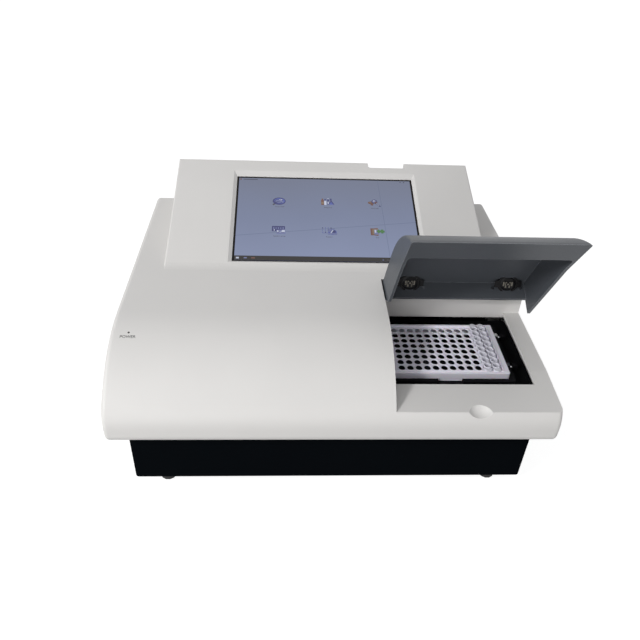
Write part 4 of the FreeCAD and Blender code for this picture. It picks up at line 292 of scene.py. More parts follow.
# %% [markdown]
# Edges catch the light as a thin line, and this group paints that highlight into the colour.
# Comparing the face's own direction with one averaged over a small width finds the edges,
# and noise breaks the line up.

# %% Painted edge highlight
painted_edges, inside, outside = start_group(
    "painted_edge_highlight", [("Width", "value", 0.0006), ("Amount", "value", 0.5)],
    [("Mask", "value")],
)
soft = painted_edges.nodes.new("ShaderNodeBevel")
soft.samples = 4
painted_edges.links.new(inside.outputs["Width"], soft.inputs["Radius"])
hard = painted_edges.nodes.new("ShaderNodeNewGeometry")
compare = painted_edges.nodes.new("ShaderNodeVectorMath")
compare.operation = "DOT_PRODUCT"
painted_edges.links.new(soft.outputs[0], compare.inputs[0])
painted_edges.links.new(hard.outputs["Normal"], compare.inputs[1])
apart = maths(painted_edges, "SUBTRACT", 1.0, compare.outputs["Value"])
turned = maths(painted_edges, "MULTIPLY", apart, 6.0)
place = painted_edges.nodes.new("ShaderNodeTexCoord").outputs["Object"]
broken = maths(painted_edges, "ADD", noise(painted_edges, place, 160.0, 3.0), 0.75)
edge = maths(painted_edges, "MULTIPLY", maths(painted_edges, "MINIMUM", turned, 1.0), broken)
painted_edges.links.new(maths(painted_edges, "MULTIPLY", edge, inside.outputs["Amount"]),
                 outside.inputs["Mask"])
print("group", painted_edges.name)


# %% [markdown]
# ## Finishes
# Each finish is one material: a Principled shader that takes its colour, roughness and
# bump from an effect group. What is the same all over a finish, such as its metalness
# or its coat, is set on the shader itself.

# %% Two makers of finishes
def start_finish(name, settings):
    """A material with an empty Principled shader, its plain settings made."""
    material = bpy.data.materials.new(name)
    material.use_nodes = True
    shader = material.node_tree.nodes["Principled BSDF"]
    for label, value in settings.items():
        shader.inputs[label].default_value = value
    return material, shader


def place_group(tree, group, values):
    node = tree.nodes.new("ShaderNodeGroup")
    node.node_tree = group
    for label, value in values.items():
        node.inputs[label].default_value = value
    return node


def add_bump(tree, shader, height, depth):
    """Feed a height into the shader's normal. The depth is in metres."""
    bump = tree.nodes.new("ShaderNodeBump")
    bump.inputs["Strength"].default_value = 1.0
    bump.inputs["Distance"].default_value = depth
    tree.links.new(height, bump.inputs["Height"])
    tree.links.new(bump.outputs["Normal"], shader.inputs["Normal"])


def finish(name, group, values, depth, edge=None, **settings):
    """A finish from an effect group. The edge is the (colour, width, amount) of a painted edge
    highlight, or none.
    """
    labels = {label.replace("_", " "): value for label, value in settings.items()}
    material, shader = start_finish(name, labels)
    tree = material.node_tree
    effect = place_group(tree, group, values)
    colour = effect.outputs["Colour"]
    if edge:
        # The edge colour is painted along the edges as a highlight.
        painted_edge_node = place_group(tree, painted_edges, {"Width": edge[1], "Amount": edge[2]})
        mix = tree.nodes.new("ShaderNodeMix")
        mix.data_type = "RGBA"
        tree.links.new(painted_edge_node.outputs["Mask"], mix.inputs["Factor"])
        tree.links.new(colour, mix.inputs["A"])
        mix.inputs["B"].default_value = edge[0]
        colour = mix.outputs["Result"]
    tree.links.new(colour, shader.inputs["Base Color"])
    tree.links.new(effect.outputs["Roughness"], shader.inputs["Roughness"])
    add_bump(tree, shader, effect.outputs["Height"], depth)
    return material


# %% [markdown]
# The plastics and paints come first. The cover is a warm off-white with a fine spark
# texture, the lid a mid grey of the same texture, and the base a black powder coat.

# %% Plastics, paints and rubber
# Each edge colour is a painted edge highlight, lighter than its finish. The microplate's is a
# slightly darker painted edge.
cover_white = finish(
    "cover_white", pebble,
    {"Colour": (0.72, 0.705, 0.685, 1), "Drift": 0.03, "Grain": 1300.0, "Roughness": 0.5,
     "Spread": 0.16},
    0.00004, edge=((0.94, 0.92, 0.90, 1), 0.0010, 0.8), Specular_IOR_Level=0.4)
lid_grey = finish(
    "lid_grey", pebble,
    {"Colour": (0.088, 0.096, 0.108, 1), "Drift": 0.08, "Grain": 1200.0, "Roughness": 0.42,
     "Spread": 0.2},
    0.00006, edge=((0.34, 0.35, 0.37, 1), 0.0011, 0.9), Specular_IOR_Level=0.2)
base_black = finish(
    "base_black", pebble,
    {"Colour": (0.0035, 0.0045, 0.0058, 1), "Drift": 0.12, "Grain": 1500.0, "Roughness": 0.45,
     "Spread": 0.22},
    0.00006, edge=((0.012, 0.013, 0.016, 1), 0.0008, 0.4), Specular_IOR_Level=0.0)
foot_rubber = finish(
    "foot_rubber", pebble,
    {"Colour": (0.012, 0.012, 0.012, 1), "Drift": 0.2, "Grain": 700.0, "Roughness": 0.75,
     "Spread": 0.2},
    0.00008)
carrier_black = finish(
    "carrier_black", pebble,
    {"Colour": (0.006, 0.006, 0.007, 1), "Drift": 0.2, "Grain": 1800.0, "Roughness": 0.46,
     "Spread": 0.2},
    0.00003, edge=((0.03, 0.03, 0.035, 1), 0.0004, 0.5), Specular_IOR_Level=0.04)
chassis_black = finish(
    "chassis_black", pebble,
    {"Colour": (0.014, 0.014, 0.016, 1), "Drift": 0.2, "Grain": 1800.0, "Roughness": 0.5,
     "Spread": 0.2},
    0.00003, edge=((0.10, 0.10, 0.11, 1), 0.0005, 0.6), Metallic=0.4)
motor_black = finish(
    "motor_black", pebble,
    {"Colour": (0.016, 0.016, 0.018, 1), "Drift": 0.2, "Grain": 900.0, "Roughness": 0.45,
     "Spread": 0.2},
    0.00006, edge=((0.12, 0.12, 0.12, 1), 0.0006, 0.6))
nylon_black = finish(
    "nylon_black", pebble,
    {"Colour": (0.008, 0.008, 0.009, 1), "Drift": 0.2, "Grain": 1400.0, "Roughness": 0.34,
     "Spread": 0.2},
    0.00004, edge=((0.06, 0.06, 0.065, 1), 0.0004, 0.6), Specular_IOR_Level=0.15)
belt_rubber = finish(
    "belt_rubber", pebble,
    {"Colour": (0.018, 0.018, 0.018, 1), "Drift": 0.2, "Grain": 500.0, "Roughness": 0.7,
     "Spread": 0.2},
    0.00010)
plate_white = finish(
    "plate_white", pebble,
    {"Colour": (0.88, 0.85, 0.94, 1), "Drift": 0.03, "Grain": 500.0, "Roughness": 0.22,
     "Spread": 0.1},
    0.00001, edge=((0.86, 0.84, 0.9, 1), 0.0005, 0.5), Subsurface_Weight=0.1,
    Subsurface_Scale=0.002)
print("plastics and paints", 10)

# %% [markdown]
# The metals differ by how they were made: rods are ground along their length, brackets
# are rolled sheet, machined blocks show the cutter's path, and bushes are sintered.

# %% Metals
# The edge colours of the metals are painted edge highlights too.
ground_steel = finish(
    "ground_steel", marks,
    {"Colour": (0.60, 0.61, 0.63, 1), "Drift": 0.12, "Squeeze": (60.0, 4.0, 4.0),
     "Roughness": 0.18, "Spread": 0.12},
    0.000006, Metallic=1.0)
zinc_sheet = finish(
    "zinc_sheet", marks,
    {"Colour": (0.52, 0.53, 0.54, 1), "Drift": 0.35, "Squeeze": (1.0, 6.0, 6.0),
     "Roughness": 0.36, "Spread": 0.3},
    0.00001, edge=((0.75, 0.75, 0.76, 1), 0.0004, 0.5), Metallic=1.0)
machined = finish(
    "machined_aluminium", marks,
    {"Colour": (0.64, 0.65, 0.67, 1), "Drift": 0.18, "Squeeze": (30.0, 2.0, 30.0),
     "Roughness": 0.28, "Spread": 0.2},
    0.000008, edge=((0.85, 0.85, 0.86, 1), 0.0004, 0.6), Metallic=1.0)
hinge_bronze = finish(
    "hinge_bronze", marks,
    {"Colour": (0.14, 0.13, 0.11, 1), "Drift": 0.7, "Squeeze": (6.0, 6.0, 6.0),
     "Roughness": 0.30, "Spread": 0.3},
    0.00002, edge=((0.30, 0.26, 0.20, 1), 0.0003, 0.6), Metallic=0.6)
bronze = finish(
    "sintered_bronze", pebble,
    {"Colour": (0.55, 0.36, 0.16, 1), "Drift": 0.25, "Grain": 2200.0, "Roughness": 0.42,
     "Spread": 0.25},
    0.00003, Metallic=1.0)
screen_tin = finish(
    "screen_tin", marks,
    {"Colour": (0.58, 0.59, 0.61, 1), "Drift": 0.12, "Squeeze": (3.0, 3.0, 3.0),
     "Roughness": 0.3, "Spread": 0.2},
    0.00001, Metallic=1.0)
print("metals", 6)

# %% [markdown]
# Clear and glossy things: the polystyrene strips and the lenses let light through, the
# touch glass is black where no picture shows, and the light pipe is a dark dot.

# %% Glass and gloss
strip_clear = finish(
    "strip_clear", pebble,
    {"Colour": (0.90, 0.89, 0.97, 1), "Drift": 0.03, "Grain": 400.0, "Roughness": 0.07,
     "Spread": 0.06},
    0.00001, Transmission_Weight=0.22, IOR=1.5)
lens_glass = finish(
    "lens_glass", pebble,
    {"Colour": (0.96, 0.98, 1.0, 1), "Drift": 0.02, "Grain": 300.0, "Roughness": 0.03,
     "Spread": 0.02},
    0.000002, Transmission_Weight=0.95, IOR=1.5)
screen_black = finish(
    "screen_black", pebble,
    {"Colour": (0.008, 0.006, 0.006, 1), "Drift": 0.1, "Grain": 200.0, "Roughness": 0.12,
     "Spread": 0.05},
    0.000002, Specular_IOR_Level=0.12)
indicator_dark = finish(
    "indicator_dark", pebble,
    {"Colour": (0.015, 0.012, 0.012, 1), "Drift": 0.2, "Grain": 900.0, "Roughness": 0.3,
     "Spread": 0.1},
    0.00001, Coat_Weight=0.4)
print("glass and gloss", 4)


# %% [markdown]
# A filter wheel carries a coloured filter for each wavelength. One material gives each
# its own tint from its place round the wheel, so no filter needs a material of its own.

# %% Filter glass and circuit board
FILTER_AXIS = Vector((20.0, 22.5, 120.0)) * MM


def turned_place(tree, turn_centre):
    """Object coordinates measured from a centre."""
    place = tree.nodes.new("ShaderNodeTexCoord").outputs["Object"]
    shift = tree.nodes.new("ShaderNodeMapping")
    shift.inputs["Location"].default_value = tuple(-turn_centre)
    tree.links.new(place, shift.inputs["Vector"])
    return shift.outputs["Vector"]


filter_glass, shader = start_finish(
    "filter_glass", {"Metallic": 0.6, "Coat Weight": 0.5})
tree = filter_glass.node_tree
split = tree.nodes.new("ShaderNodeSeparateXYZ")
tree.links.new(turned_place(tree, FILTER_AXIS), split.inputs[0])
round_wheel = maths(tree, "ARCTAN2", split.outputs["Z"], split.outputs["X"])
share = maths(tree, "ADD", maths(tree, "DIVIDE", round_wheel, 2 * math.pi), 0.5)
spectrum = tree.nodes.new("ShaderNodeCombineColor")
spectrum.mode = "HSV"
tree.links.new(share, spectrum.inputs[0])
spectrum.inputs[1].default_value = 0.75
spectrum.inputs[2].default_value = 0.45
tree.links.new(spectrum.outputs[0], shader.inputs["Base Color"])
place = tree.nodes.new("ShaderNodeTexCoord").outputs["Object"]
sheen = maths(tree, "ADD", maths(tree, "MULTIPLY", noise(tree, place, 300.0), 0.1), 0.12)
tree.links.new(sheen, shader.inputs["Roughness"])

board_green, shader = start_finish("board_green", {"Coat Weight": 0.3})
tree = board_green.node_tree
place = tree.nodes.new("ShaderNodeTexCoord").outputs["Object"]
tracks = tree.nodes.new("ShaderNodeTexBrick")
tracks.inputs["Scale"].default_value = 90.0
tracks.inputs["Mortar Size"].default_value = 0.018
tracks.inputs["Color1"].default_value = (0.010, 0.085, 0.035, 1)
tracks.inputs["Color2"].default_value = (0.014, 0.105, 0.045, 1)
tracks.inputs["Mortar"].default_value = (0.05, 0.22, 0.09, 1)
tree.links.new(place, tracks.inputs["Vector"])
split = tree.nodes.new("ShaderNodeSeparateXYZ")
tree.links.new(place, split.inputs[0])
BOARD_TOP = 21.65 * MM
chips = maths(tree, "GREATER_THAN", split.outputs["Z"], BOARD_TOP)
mix = tree.nodes.new("ShaderNodeMix")
mix.data_type = "RGBA"
tree.links.new(chips, mix.inputs["Factor"])
tree.links.new(tracks.outputs["Color"], mix.inputs["A"])
mix.inputs["B"].default_value = (0.02, 0.02, 0.022, 1)
tree.links.new(mix.outputs["Result"], shader.inputs["Base Color"])
gloss = maths(tree, "ADD", maths(tree, "MULTIPLY", noise(tree, place, 120.0), 0.2), 0.35)
tree.links.new(gloss, shader.inputs["Roughness"])
add_bump(tree, shader, tracks.outputs["Fac"], 0.00003)
print("filter axis", tuple(FILTER_AXIS))


# %% [markdown]
# ## Dress the CAD pieces
# Every CAD node gets one of these finishes. A table from finish to pieces is easier to
# read and to mend than sixty separate lines.

# %% Hand out the finishes
DRESS = {
    cover_white: ["main_cover"],
    lid_grey: ["lid"],
    base_black: ["base_tray"],
    foot_rubber: ["feet"],
    carrier_black: ["plate_carrier", "carriage_block_front", "carriage_block_back",
                    "clamp_guides", "optics_bridge"],
    chassis_black: ["chassis_plate", "optics_bracket"],
    motor_black: ["drive_motor", "filter_motor"],
    nylon_black: ["hinge_cup_left", "hinge_cup_right", "power_inlet", "switch_frame",
                  "rocker", "fan_frame", "fan_rotor", "fibre_bundle"],
    belt_rubber: ["drive_belt"],
    plate_white: ["microplate_frame"],
    ground_steel: ["guide_rod_front", "guide_rod_back", "motor_shaft", "cover_screws",
                   "hinge_screws", "hinge_pin_left", "hinge_pin_right",
                   "plate_clamp_front", "plate_clamp_back"],
    zinc_sheet: ["motor_bracket", "idler_bracket", "display_bracket", "power_supply",
                 "data_ports", "hinge_arm_left", "hinge_arm_right"],
    machined: ["chassis_pillars", "rod_support_left", "rod_support_right", "drive_pulley",
               "idler_pulley", "belt_clamp", "lens_barrels", "filter_wheel",
               "lamp_housing"],
    bronze: ["carriage_bushes", "board_standoffs"],
    screen_tin: ["lcd_panel"],
    strip_clear: ["well_strip_11", "well_strip_12"],
    lens_glass: ["condenser_lens", "lamp"],
    screen_black: ["display_glass"],
    indicator_dark: ["power_indicator"],
    filter_glass: ["filters"],
    board_green: ["main_board", "detector_board"],
}
dressed = set()
for material, names in DRESS.items():
    for name in names:
        nodes[name].data.materials.clear()
        nodes[name].data.materials.append(material)
        dressed.add(name)
print("dressed", len(dressed), "left over", sorted(set(nodes) - dressed))


# %% [markdown]
# ## Helpers for new pieces
# A new piece starts as a bmesh in the frame's own place, so its object can stay at the
# origin. It then rides on a body and takes a finish.

# %% Finish a new piece
def make_piece(name, shape, material, body):
    """Turn a bmesh into a named piece that rides on a body."""
    bmesh.ops.recalc_face_normals(shape, faces=shape.faces)
    mesh = bpy.data.meshes.new(name)
    shape.to_mesh(mesh)
    shape.free()
    for face in mesh.polygons:
        face.use_smooth = False
    mesh.materials.append(material)
    piece = bpy.data.objects.new(name, mesh)
    bpy.context.scene.collection.objects.link(piece)
    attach(piece, body)
    print(name, len(mesh.polygons), "faces")
    return piece


def add_block(shape, low, high, bevel=0.0, turn=None):
    """Add a block between two corners to a bmesh, its edges bevelled, then turned."""
    made = bmesh.ops.create_cube(shape, size=1.0)
    corners = made["verts"]
    low = Vector(low)
    high = Vector(high)
    size = high - low
    middle = (high + low) / 2
    bmesh.ops.transform(
        shape, verts=corners,
        matrix=Matrix.Translation(middle) @ Matrix.Diagonal((*size, 1.0)))
    if bevel:
        edges = list({edge for vert in corners for edge in vert.link_edges})
        made = bmesh.ops.bevel(
            shape, geom=edges, offset=bevel, offset_type="OFFSET", segments=2, profile=0.5,
            affect="EDGES", material=-1)
        corners = made["verts"]
    if turn is not None:
        bmesh.ops.transform(shape, verts=corners, matrix=turn)
    return corners


def add_disc(shape, radius, low, high, turn=None, segments=32, top=None):
    """Add a round plate standing along its own Z, narrower at the top where asked."""
    made = bmesh.ops.create_cone(
        shape, cap_ends=True, segments=segments, radius1=radius,
        radius2=radius if top is None else top, depth=high - low)
    bmesh.ops.translate(shape, verts=made["verts"], vec=(0, 0, (high + low) / 2))
    if turn is not None:
        bmesh.ops.transform(shape, verts=made["verts"], matrix=turn)
    return made["verts"]


print("helpers ready")


# %% [markdown]
# ## Touch screen picture
# The lit picture fills the glass inside a narrow black border. It glows, so its colour
# goes to the emission, and the gloss of the glass stays on top of it. Colour drifts
# from a darker top to a lighter bottom, with two faint crossing lines in it.

# %% Lay the picture on the slope
PANEL_SLOPE = math.radians(18.3)
PANEL_TOP = Vector((0.0, 181.5, 218.2)) * MM
GLASS_FRONT = -3.0 * MM
PICTURE_MIDDLE = Vector((0.0, -99.3, 0.0)) * MM
PICTURE_WIDTH = 217.6 * MM
PICTURE_HEIGHT = 136.0 * MM
FILM = 0.05 * MM

on_slope = Matrix.Translation(PANEL_TOP) @ Matrix.Rotation(PANEL_SLOPE, 4, "X")
on_glass = on_slope @ Matrix.Translation(PICTURE_MIDDLE + Vector((0, 0, GLASS_FRONT)))

picture_glow, shader = start_finish(
    "picture_glow", {"Base Color": (0.004, 0.004, 0.005, 1), "Emission Strength": 1.0})
tree = picture_glow.node_tree
place = tree.nodes.new("ShaderNodeTexCoord").outputs["Object"]
level_out = tree.nodes.new("ShaderNodeMapping")
level_out.vector_type = "POINT"
picture_centre = on_glass.translation
flat = Matrix.Rotation(-PANEL_SLOPE, 3, "X") @ picture_centre
level_out.inputs["Rotation"].default_value = (-PANEL_SLOPE, 0, 0)
level_out.inputs["Location"].default_value = tuple(-flat)
tree.links.new(place, level_out.inputs["Vector"])
split = tree.nodes.new("ShaderNodeSeparateXYZ")
tree.links.new(level_out.outputs[0], split.inputs[0])
across = maths(tree, "DIVIDE", split.outputs["X"], PICTURE_WIDTH)
up = maths(tree, "DIVIDE", split.outputs["Y"], PICTURE_HEIGHT)
shade = tree.nodes.new("ShaderNodeValToRGB")
shade.color_ramp.elements[0].color = (0.20, 0.235, 0.365, 1)
shade.color_ramp.elements[1].color = (0.14, 0.16, 0.235, 1)
middle = shade.color_ramp.elements.new(0.5)
middle.color = (0.16, 0.19, 0.297, 1)
cloud = maths(tree, "MULTIPLY", noise(tree, place, 9.0, 2.0), 0.35)
tree.links.new(maths(tree, "ADD", maths(tree, "ADD", up, 0.5), cloud), shade.inputs[0])


def faint_line(along, over, slope, offset, half_width):
    """A mask for a thin line, where one coordinate is a slope times the other."""
    tilted = maths(tree, "MULTIPLY", over, slope)
    off = maths(tree, "SUBTRACT", maths(tree, "SUBTRACT", along, tilted), offset)
    return maths(tree, "LESS_THAN", maths(tree, "ABSOLUTE", off, 0.0), half_width)


crossing = maths(
    tree, "MAXIMUM", faint_line(up, across, 0.19, -0.126, 0.0032),
    faint_line(across, up, -0.025, 0.322, 0.0016))
lined = tree.nodes.new("ShaderNodeMix")
lined.data_type = "RGBA"
tree.links.new(maths(tree, "MULTIPLY", crossing, 0.45), lined.inputs["Factor"])
tree.links.new(shade.outputs["Color"], lined.inputs["A"])
lined.inputs["B"].default_value = (0.07, 0.10, 0.18, 1)
tree.links.new(lined.outputs["Result"], shader.inputs["Emission Color"])
gloss = maths(tree, "ADD", maths(tree, "MULTIPLY", noise(tree, place, 90.0), 0.04), 0.14)
tree.links.new(gloss, shader.inputs["Roughness"])

shape = bmesh.new()
bmesh.ops.create_grid(
    shape, x_segments=2, y_segments=2, size=0.5,
    matrix=Matrix.Diagonal((PICTURE_WIDTH, PICTURE_HEIGHT, 1.0, 1.0)))
bmesh.ops.solidify(shape, geom=shape.faces, thickness=-FILM)
bmesh.ops.transform(shape, verts=shape.verts, matrix=on_glass)
make_piece("screen_picture", shape, picture_glow, "case")


# %% [markdown]
# The pictures on the screen are small plain signs: a disc under a lens, bottles with a
# flask, a tool under a lens, a window, dots with a dome, and a box with an arrow. Each is
# a few thin flat shapes that glow. One material per colour keeps them cheap, and a coarse
# noise keeps each from being flat.

# %% Sign colours
def sign_colour(name, colour):
    material, shader = start_finish(
        name, {"Base Color": (0.01, 0.01, 0.01, 1), "Emission Strength": 1.0})
    tree = material.node_tree
    effect = place_group(tree, pebble, {
        "Colour": colour, "Drift": 0.5, "Grain": 2500.0, "Roughness": 0.15, "Spread": 0.05})
    tree.links.new(effect.outputs["Colour"], shader.inputs["Emission Color"])
    tree.links.new(effect.outputs["Roughness"], shader.inputs["Roughness"])
    return material


SIGN = {
    "navy": sign_colour("sign_navy", (0.028, 0.032, 0.13, 1)),
    "blue": sign_colour("sign_blue", (0.06, 0.085, 0.30, 1)),
    "haze": sign_colour("sign_haze", (0.13, 0.15, 0.30, 1)),
    "pale": sign_colour("sign_pale", (0.44, 0.47, 0.58, 1)),
    "brown": sign_colour("sign_brown", (0.13, 0.055, 0.04, 1)),
    "tan": sign_colour("sign_tan", (0.19, 0.13, 0.075, 1)),
    "green": sign_colour("sign_green", (0.045, 0.16, 0.04, 1)),
    "dark": sign_colour("sign_dark", (0.009, 0.006, 0.005, 1)),
    "ink": sign_colour("sign_ink", (0.05, 0.05, 0.065, 1)),
}
sign_shapes = {name: bmesh.new() for name in SIGN}
layer_count = {"now": 1}


def sign_layer():
    """The next height above the glass, so that later shapes lie on earlier ones."""
    layer_count["now"] += 1
    return FILM + layer_count["now"] * 0.004 * MM


def sign_block(colour, x, y, width, height, angle=0.0):
    """A thin oblong on the picture, its middle in millimetres from the picture's."""
    top = sign_layer()
    turn = (on_glass @ Matrix.Translation((x * MM, y * MM, 0))
            @ Matrix.Rotation(math.radians(angle), 4, "Z"))
    half = (width * MM / 2, height * MM / 2)
    add_block(sign_shapes[colour], (-half[0], -half[1], FILM / 2), (*half, top), turn=turn)


def sign_round(colour, x, y, width, height, segments=24):
    """A thin oval on the picture."""
    top = sign_layer()
    turn = (on_glass @ Matrix.Translation((x * MM, y * MM, 0))
            @ Matrix.Diagonal((width / height, 1.0, 1.0, 1.0)))
    add_disc(sign_shapes[colour], height * MM / 2, FILM / 2, top, turn=turn, segments=segments)


print("sign colours", len(SIGN))

# %% [markdown]
# Three signs stand in the upper row and three in the lower one. Numbers are millimetres
# on the picture. What is drawn later lies over what is drawn before it.

# %% Disc under a lens
SIGN_X = (-58.0, 1.5, 59.4)
SIGN_Y = (27.8, -20.8)

x, y = SIGN_X[0], SIGN_Y[0]
sign_block("ink", x - 6.0, y - 5.2, 4.4, 2.0, 35)
sign_round("navy", x, y, 16.2, 12.6)
sign_round("blue", x + 0.4, y + 0.4, 13.4, 9.8)
sign_round("navy", x - 0.4, y - 0.4, 10.6, 7.0)
sign_round("haze", x - 0.4, y - 0.2, 8.6, 5.4)
sign_block("navy", x - 1.6, y - 0.8, 8.4, 1.0, 24)
sign_round("pale", x + 2.0, y + 2.6, 3.6, 2.2)
sign_round("haze", x + 4.4, y - 1.2, 2.0, 3.2)
sign_block("navy", x + 2.4, y + 3.8, 3.4, 1.0, 50)

# %% Bottles and a flask
x = SIGN_X[1]
sign_block("brown", x - 5.8, y - 0.8, 3.4, 8.6)
sign_block("tan", x - 5.8, y - 1.6, 2.6, 3.4)
sign_block("brown", x - 5.8, y + 4.6, 1.8, 2.6)
sign_block("pale", x - 2.4, y - 1.6, 2.6, 6.8)
sign_block("haze", x - 2.4, y + 2.4, 1.6, 1.6)
sign_block("navy", x - 2.4, y + 4.2, 2.2, 2.0)
sign_round("navy", x + 5.0, y - 1.6, 8.8, 9.6, 3)
sign_round("blue", x + 4.8, y - 2.6, 6.2, 6.0, 3)
sign_block("navy", x + 1.2, y + 0.6, 2.4, 9.8)
sign_block("pale", x + 1.2, y - 1.4, 1.3, 4.0)
sign_block("navy", x + 4.6, y + 4.2, 2.0, 3.6)
sign_round("pale", x + 1.2, y + 5.6, 1.5, 1.5)
sign_block("haze", x + 5.4, y - 4.6, 5.2, 0.9)

# %% Tool under a lens
x = SIGN_X[2]
sign_round("brown", x - 3.2, y + 0.2, 8.0, 4.6)
sign_block("brown", x - 1.8, y - 2.0, 3.0, 5.0, -24)
sign_round("tan", x - 4.2, y + 1.0, 3.0, 1.6)
sign_round("navy", x + 1.2, y + 2.4, 7.2, 7.0)
sign_round("haze", x + 1.2, y + 2.4, 5.4, 5.2)
sign_round("pale", x + 0.6, y + 3.4, 2.4, 2.0)
sign_block("brown", x + 3.0, y + 0.2, 3.4, 3.2, 40)
sign_block("navy", x + 5.6, y - 3.0, 1.5, 8.4, 38)
sign_block("pale", x + 5.2, y - 2.4, 0.6, 5.6, 38)

# %% Window with a chart
x, y = SIGN_X[0], SIGN_Y[1]
sign_block("navy", x - 0.4, y + 2.4, 15.6, 8.4)
for column, height in enumerate((3.6, 2.4, 3.0, 2.6, 3.2)):
    sign_block("haze", x - 6.0 + column * 2.8, y + 3.2, 1.5, height)
sign_block("pale", x - 5.4, y + 0.2, 1.0, 2.8)
sign_block("haze", x + 2.6, y - 2.6, 10.6, 6.4, 4)
sign_block("pale", x + 2.6, y - 1.6, 9.2, 3.4, 4)
sign_round("haze", x + 1.6, y - 1.0, 4.4, 3.4)
sign_block("navy", x - 0.4, y - 3.2, 4.2, 0.7, 24)
sign_block("navy", x + 4.6, y - 3.6, 3.8, 0.7, -12)

# %% Dots with a dome
DOT_STEP = 3.4

x = SIGN_X[1]
for column in range(4):
    for row in range(3):
        colour, width, height = ("blue", 1.2, 1.4) if (column + row) % 3 else (
            "navy", 1.5, 1.7)
        sign_round(
            colour, x - 7.0 + column * DOT_STEP, y + 4.8 - row * DOT_STEP, width, height)
sign_block("haze", x - 2.0, y - 3.4, 11.0, 0.5)
sign_block("haze", x + 3.6, y + 3.2, 8.4, 0.5, 12)
sign_round("blue", x + 4.8, y - 1.8, 10.0, 8.6)
sign_block("haze", x + 1.6, y + 0.4, 4.2, 3.2, 30)
sign_block("navy", x + 6.0, y - 1.0, 4.8, 3.6)
sign_block("pale", x + 4.0, y - 1.2, 1.4, 6.0, -28)
sign_block("haze", x + 4.8, y - 4.6, 11.0, 2.4)

# %% Box with an arrow
x = SIGN_X[2]
sign_block("tan", x - 2.4, y - 0.2, 9.4, 11.0)
sign_block("brown", x - 6.0, y - 0.2, 2.2, 11.0)
sign_block("brown", x - 2.4, y + 4.8, 8.6, 1.2, 6)
sign_block("haze", x - 0.4, y - 0.8, 4.8, 8.0)
sign_block("pale", x - 1.2, y + 0.6, 2.0, 4.6)
sign_block("brown", x - 2.4, y - 5.2, 8.6, 1.1, -10)
sign_block("green", x + 6.0, y + 0.6, 8.0, 3.0)
sign_round("green", x + 2.8, y + 0.6, 5.6, 6.4, 4)
sign_block("green", x + 7.0, y + 0.6, 2.8, 6.0)

# %% Bar along the bottom and small marks along the top
BAR_Y = -64.8
BAR_MARK_X = 64.0
BAR_MARK_STEP = 5.4

sign_block("dark", 0.0, BAR_Y + 0.1, PICTURE_WIDTH / MM, 6.4)
sign_block("pale", -105.0, BAR_Y, 3.4, 2.4)
sign_block("haze", -96.0, BAR_Y, 3.6, 1.8)
sign_block("brown", -87.0, BAR_Y, 4.4, 1.8)
for column in range(7):
    sign_block("ink" if column % 3 else "haze", BAR_MARK_X + column * BAR_MARK_STEP,
               BAR_Y - 0.4, 1.6 + column % 2, 1.1)
sign_block("brown", -106.6, 65.6, 1.8, 1.8)
sign_block("ink", -94.4, 65.4, 18.0, 0.7)
sign_block("ink", 96.6, 65.6, 2.0, 0.6)
sign_block("ink", 101.0, 65.6, 1.6, 1.2)

for colour, sign_shape in sign_shapes.items():
    make_piece("screen_signs_" + colour, sign_shape, SIGN[colour], "case")


# %% [markdown]
# ## Lettering
# Small printed words are made as text, turned into a mesh and laid in place. A word on
# the curved shoulder has its points moved onto the curve, so that it hugs the cover.

# %% Captions under the signs
def flat_word(word, height, depth):
    """The mesh of a word, its middle on the origin."""
    data = bpy.data.curves.new(word, "FONT")
    data.body = word
    data.size = height / 0.7
    data.extrude = depth
    data.align_x = "CENTER"
    data.align_y = "CENTER"
    holder = bpy.data.objects.new(word, data)
    bpy.context.scene.collection.objects.link(holder)
    bpy.context.view_layer.update()
    mesh = bpy.data.meshes.new_from_object(holder.evaluated_get(
        bpy.context.evaluated_depsgraph_get()))
    shape = bmesh.new()
    shape.from_mesh(mesh)
    bmesh.ops.remove_doubles(shape, verts=shape.verts, dist=0.000001)
    bpy.data.objects.remove(holder)
    bpy.data.meshes.remove(mesh)
    return shape


CAPTIONS = (("Plate read", "Reagents", "Methods"), ("System setup", "Report", "Exit"))
CAPTION_HEIGHT = 1.9 * MM
CAPTION_DROP = 9.4
CAPTION_SHIFT = 0.8
captions = bmesh.new()
for row, words in enumerate(CAPTIONS):
    for column, word in enumerate(words):
        shape = flat_word(word, CAPTION_HEIGHT, 0.02 * MM)
        at = Vector((SIGN_X[column] + CAPTION_SHIFT, SIGN_Y[row] - CAPTION_DROP, 0)) * MM
        bmesh.ops.transform(
            shape, verts=shape.verts,
            matrix=on_glass @ Matrix.Translation(at + Vector((0, 0, FILM))))
        made = bpy.data.meshes.new(word)
        shape.to_mesh(made)
        shape.free()
        captions.from_mesh(made)
        bpy.data.meshes.remove(made)
make_piece("screen_captions", captions, SIGN["ink"], "case")

# %% The word beside the power light
NOSE_CENTRE = Vector((0.0, -78.5, 161.45 - 131.6)) * MM
NOSE_RADIUS = 131.6 * MM
WORD_PLACE = (-202.9 * MM, -112.6 * MM)
INK_DEPTH = 0.06 * MM

print_ink = finish(
    "print_ink", pebble,
    {"Colour": (0.02, 0.02, 0.022, 1), "Drift": 0.3, "Grain": 2500.0, "Roughness": 0.45,
     "Spread": 0.2},
    0.00001)
shape = flat_word("POWER", 3.1 * MM, INK_DEPTH)
bmesh.ops.subdivide_edges(
    shape, edges=[edge for edge in shape.edges if edge.calc_length() > 1.2 * MM], cuts=2)
for vert in shape.verts:
    y = WORD_PLACE[1] + vert.co.y
    reach = y - NOSE_CENTRE.y
    surface = NOSE_CENTRE.z + math.sqrt(NOSE_RADIUS ** 2 - reach ** 2)
    vert.co = Vector((WORD_PLACE[0] + vert.co.x, y, surface + vert.co.z))
make_piece("power_word", shape, print_ink, "case")


# %% [markdown]
# ## Microplate
# The frame's deck is one sheet with 96 holes, a little below the border. Each hole sits
# in a square cell: a ring of points on the square, a low lip and a short oval bore. Cells
# share their borders, so merging doubled points makes them one sheet, and the walls are
# then built round it.

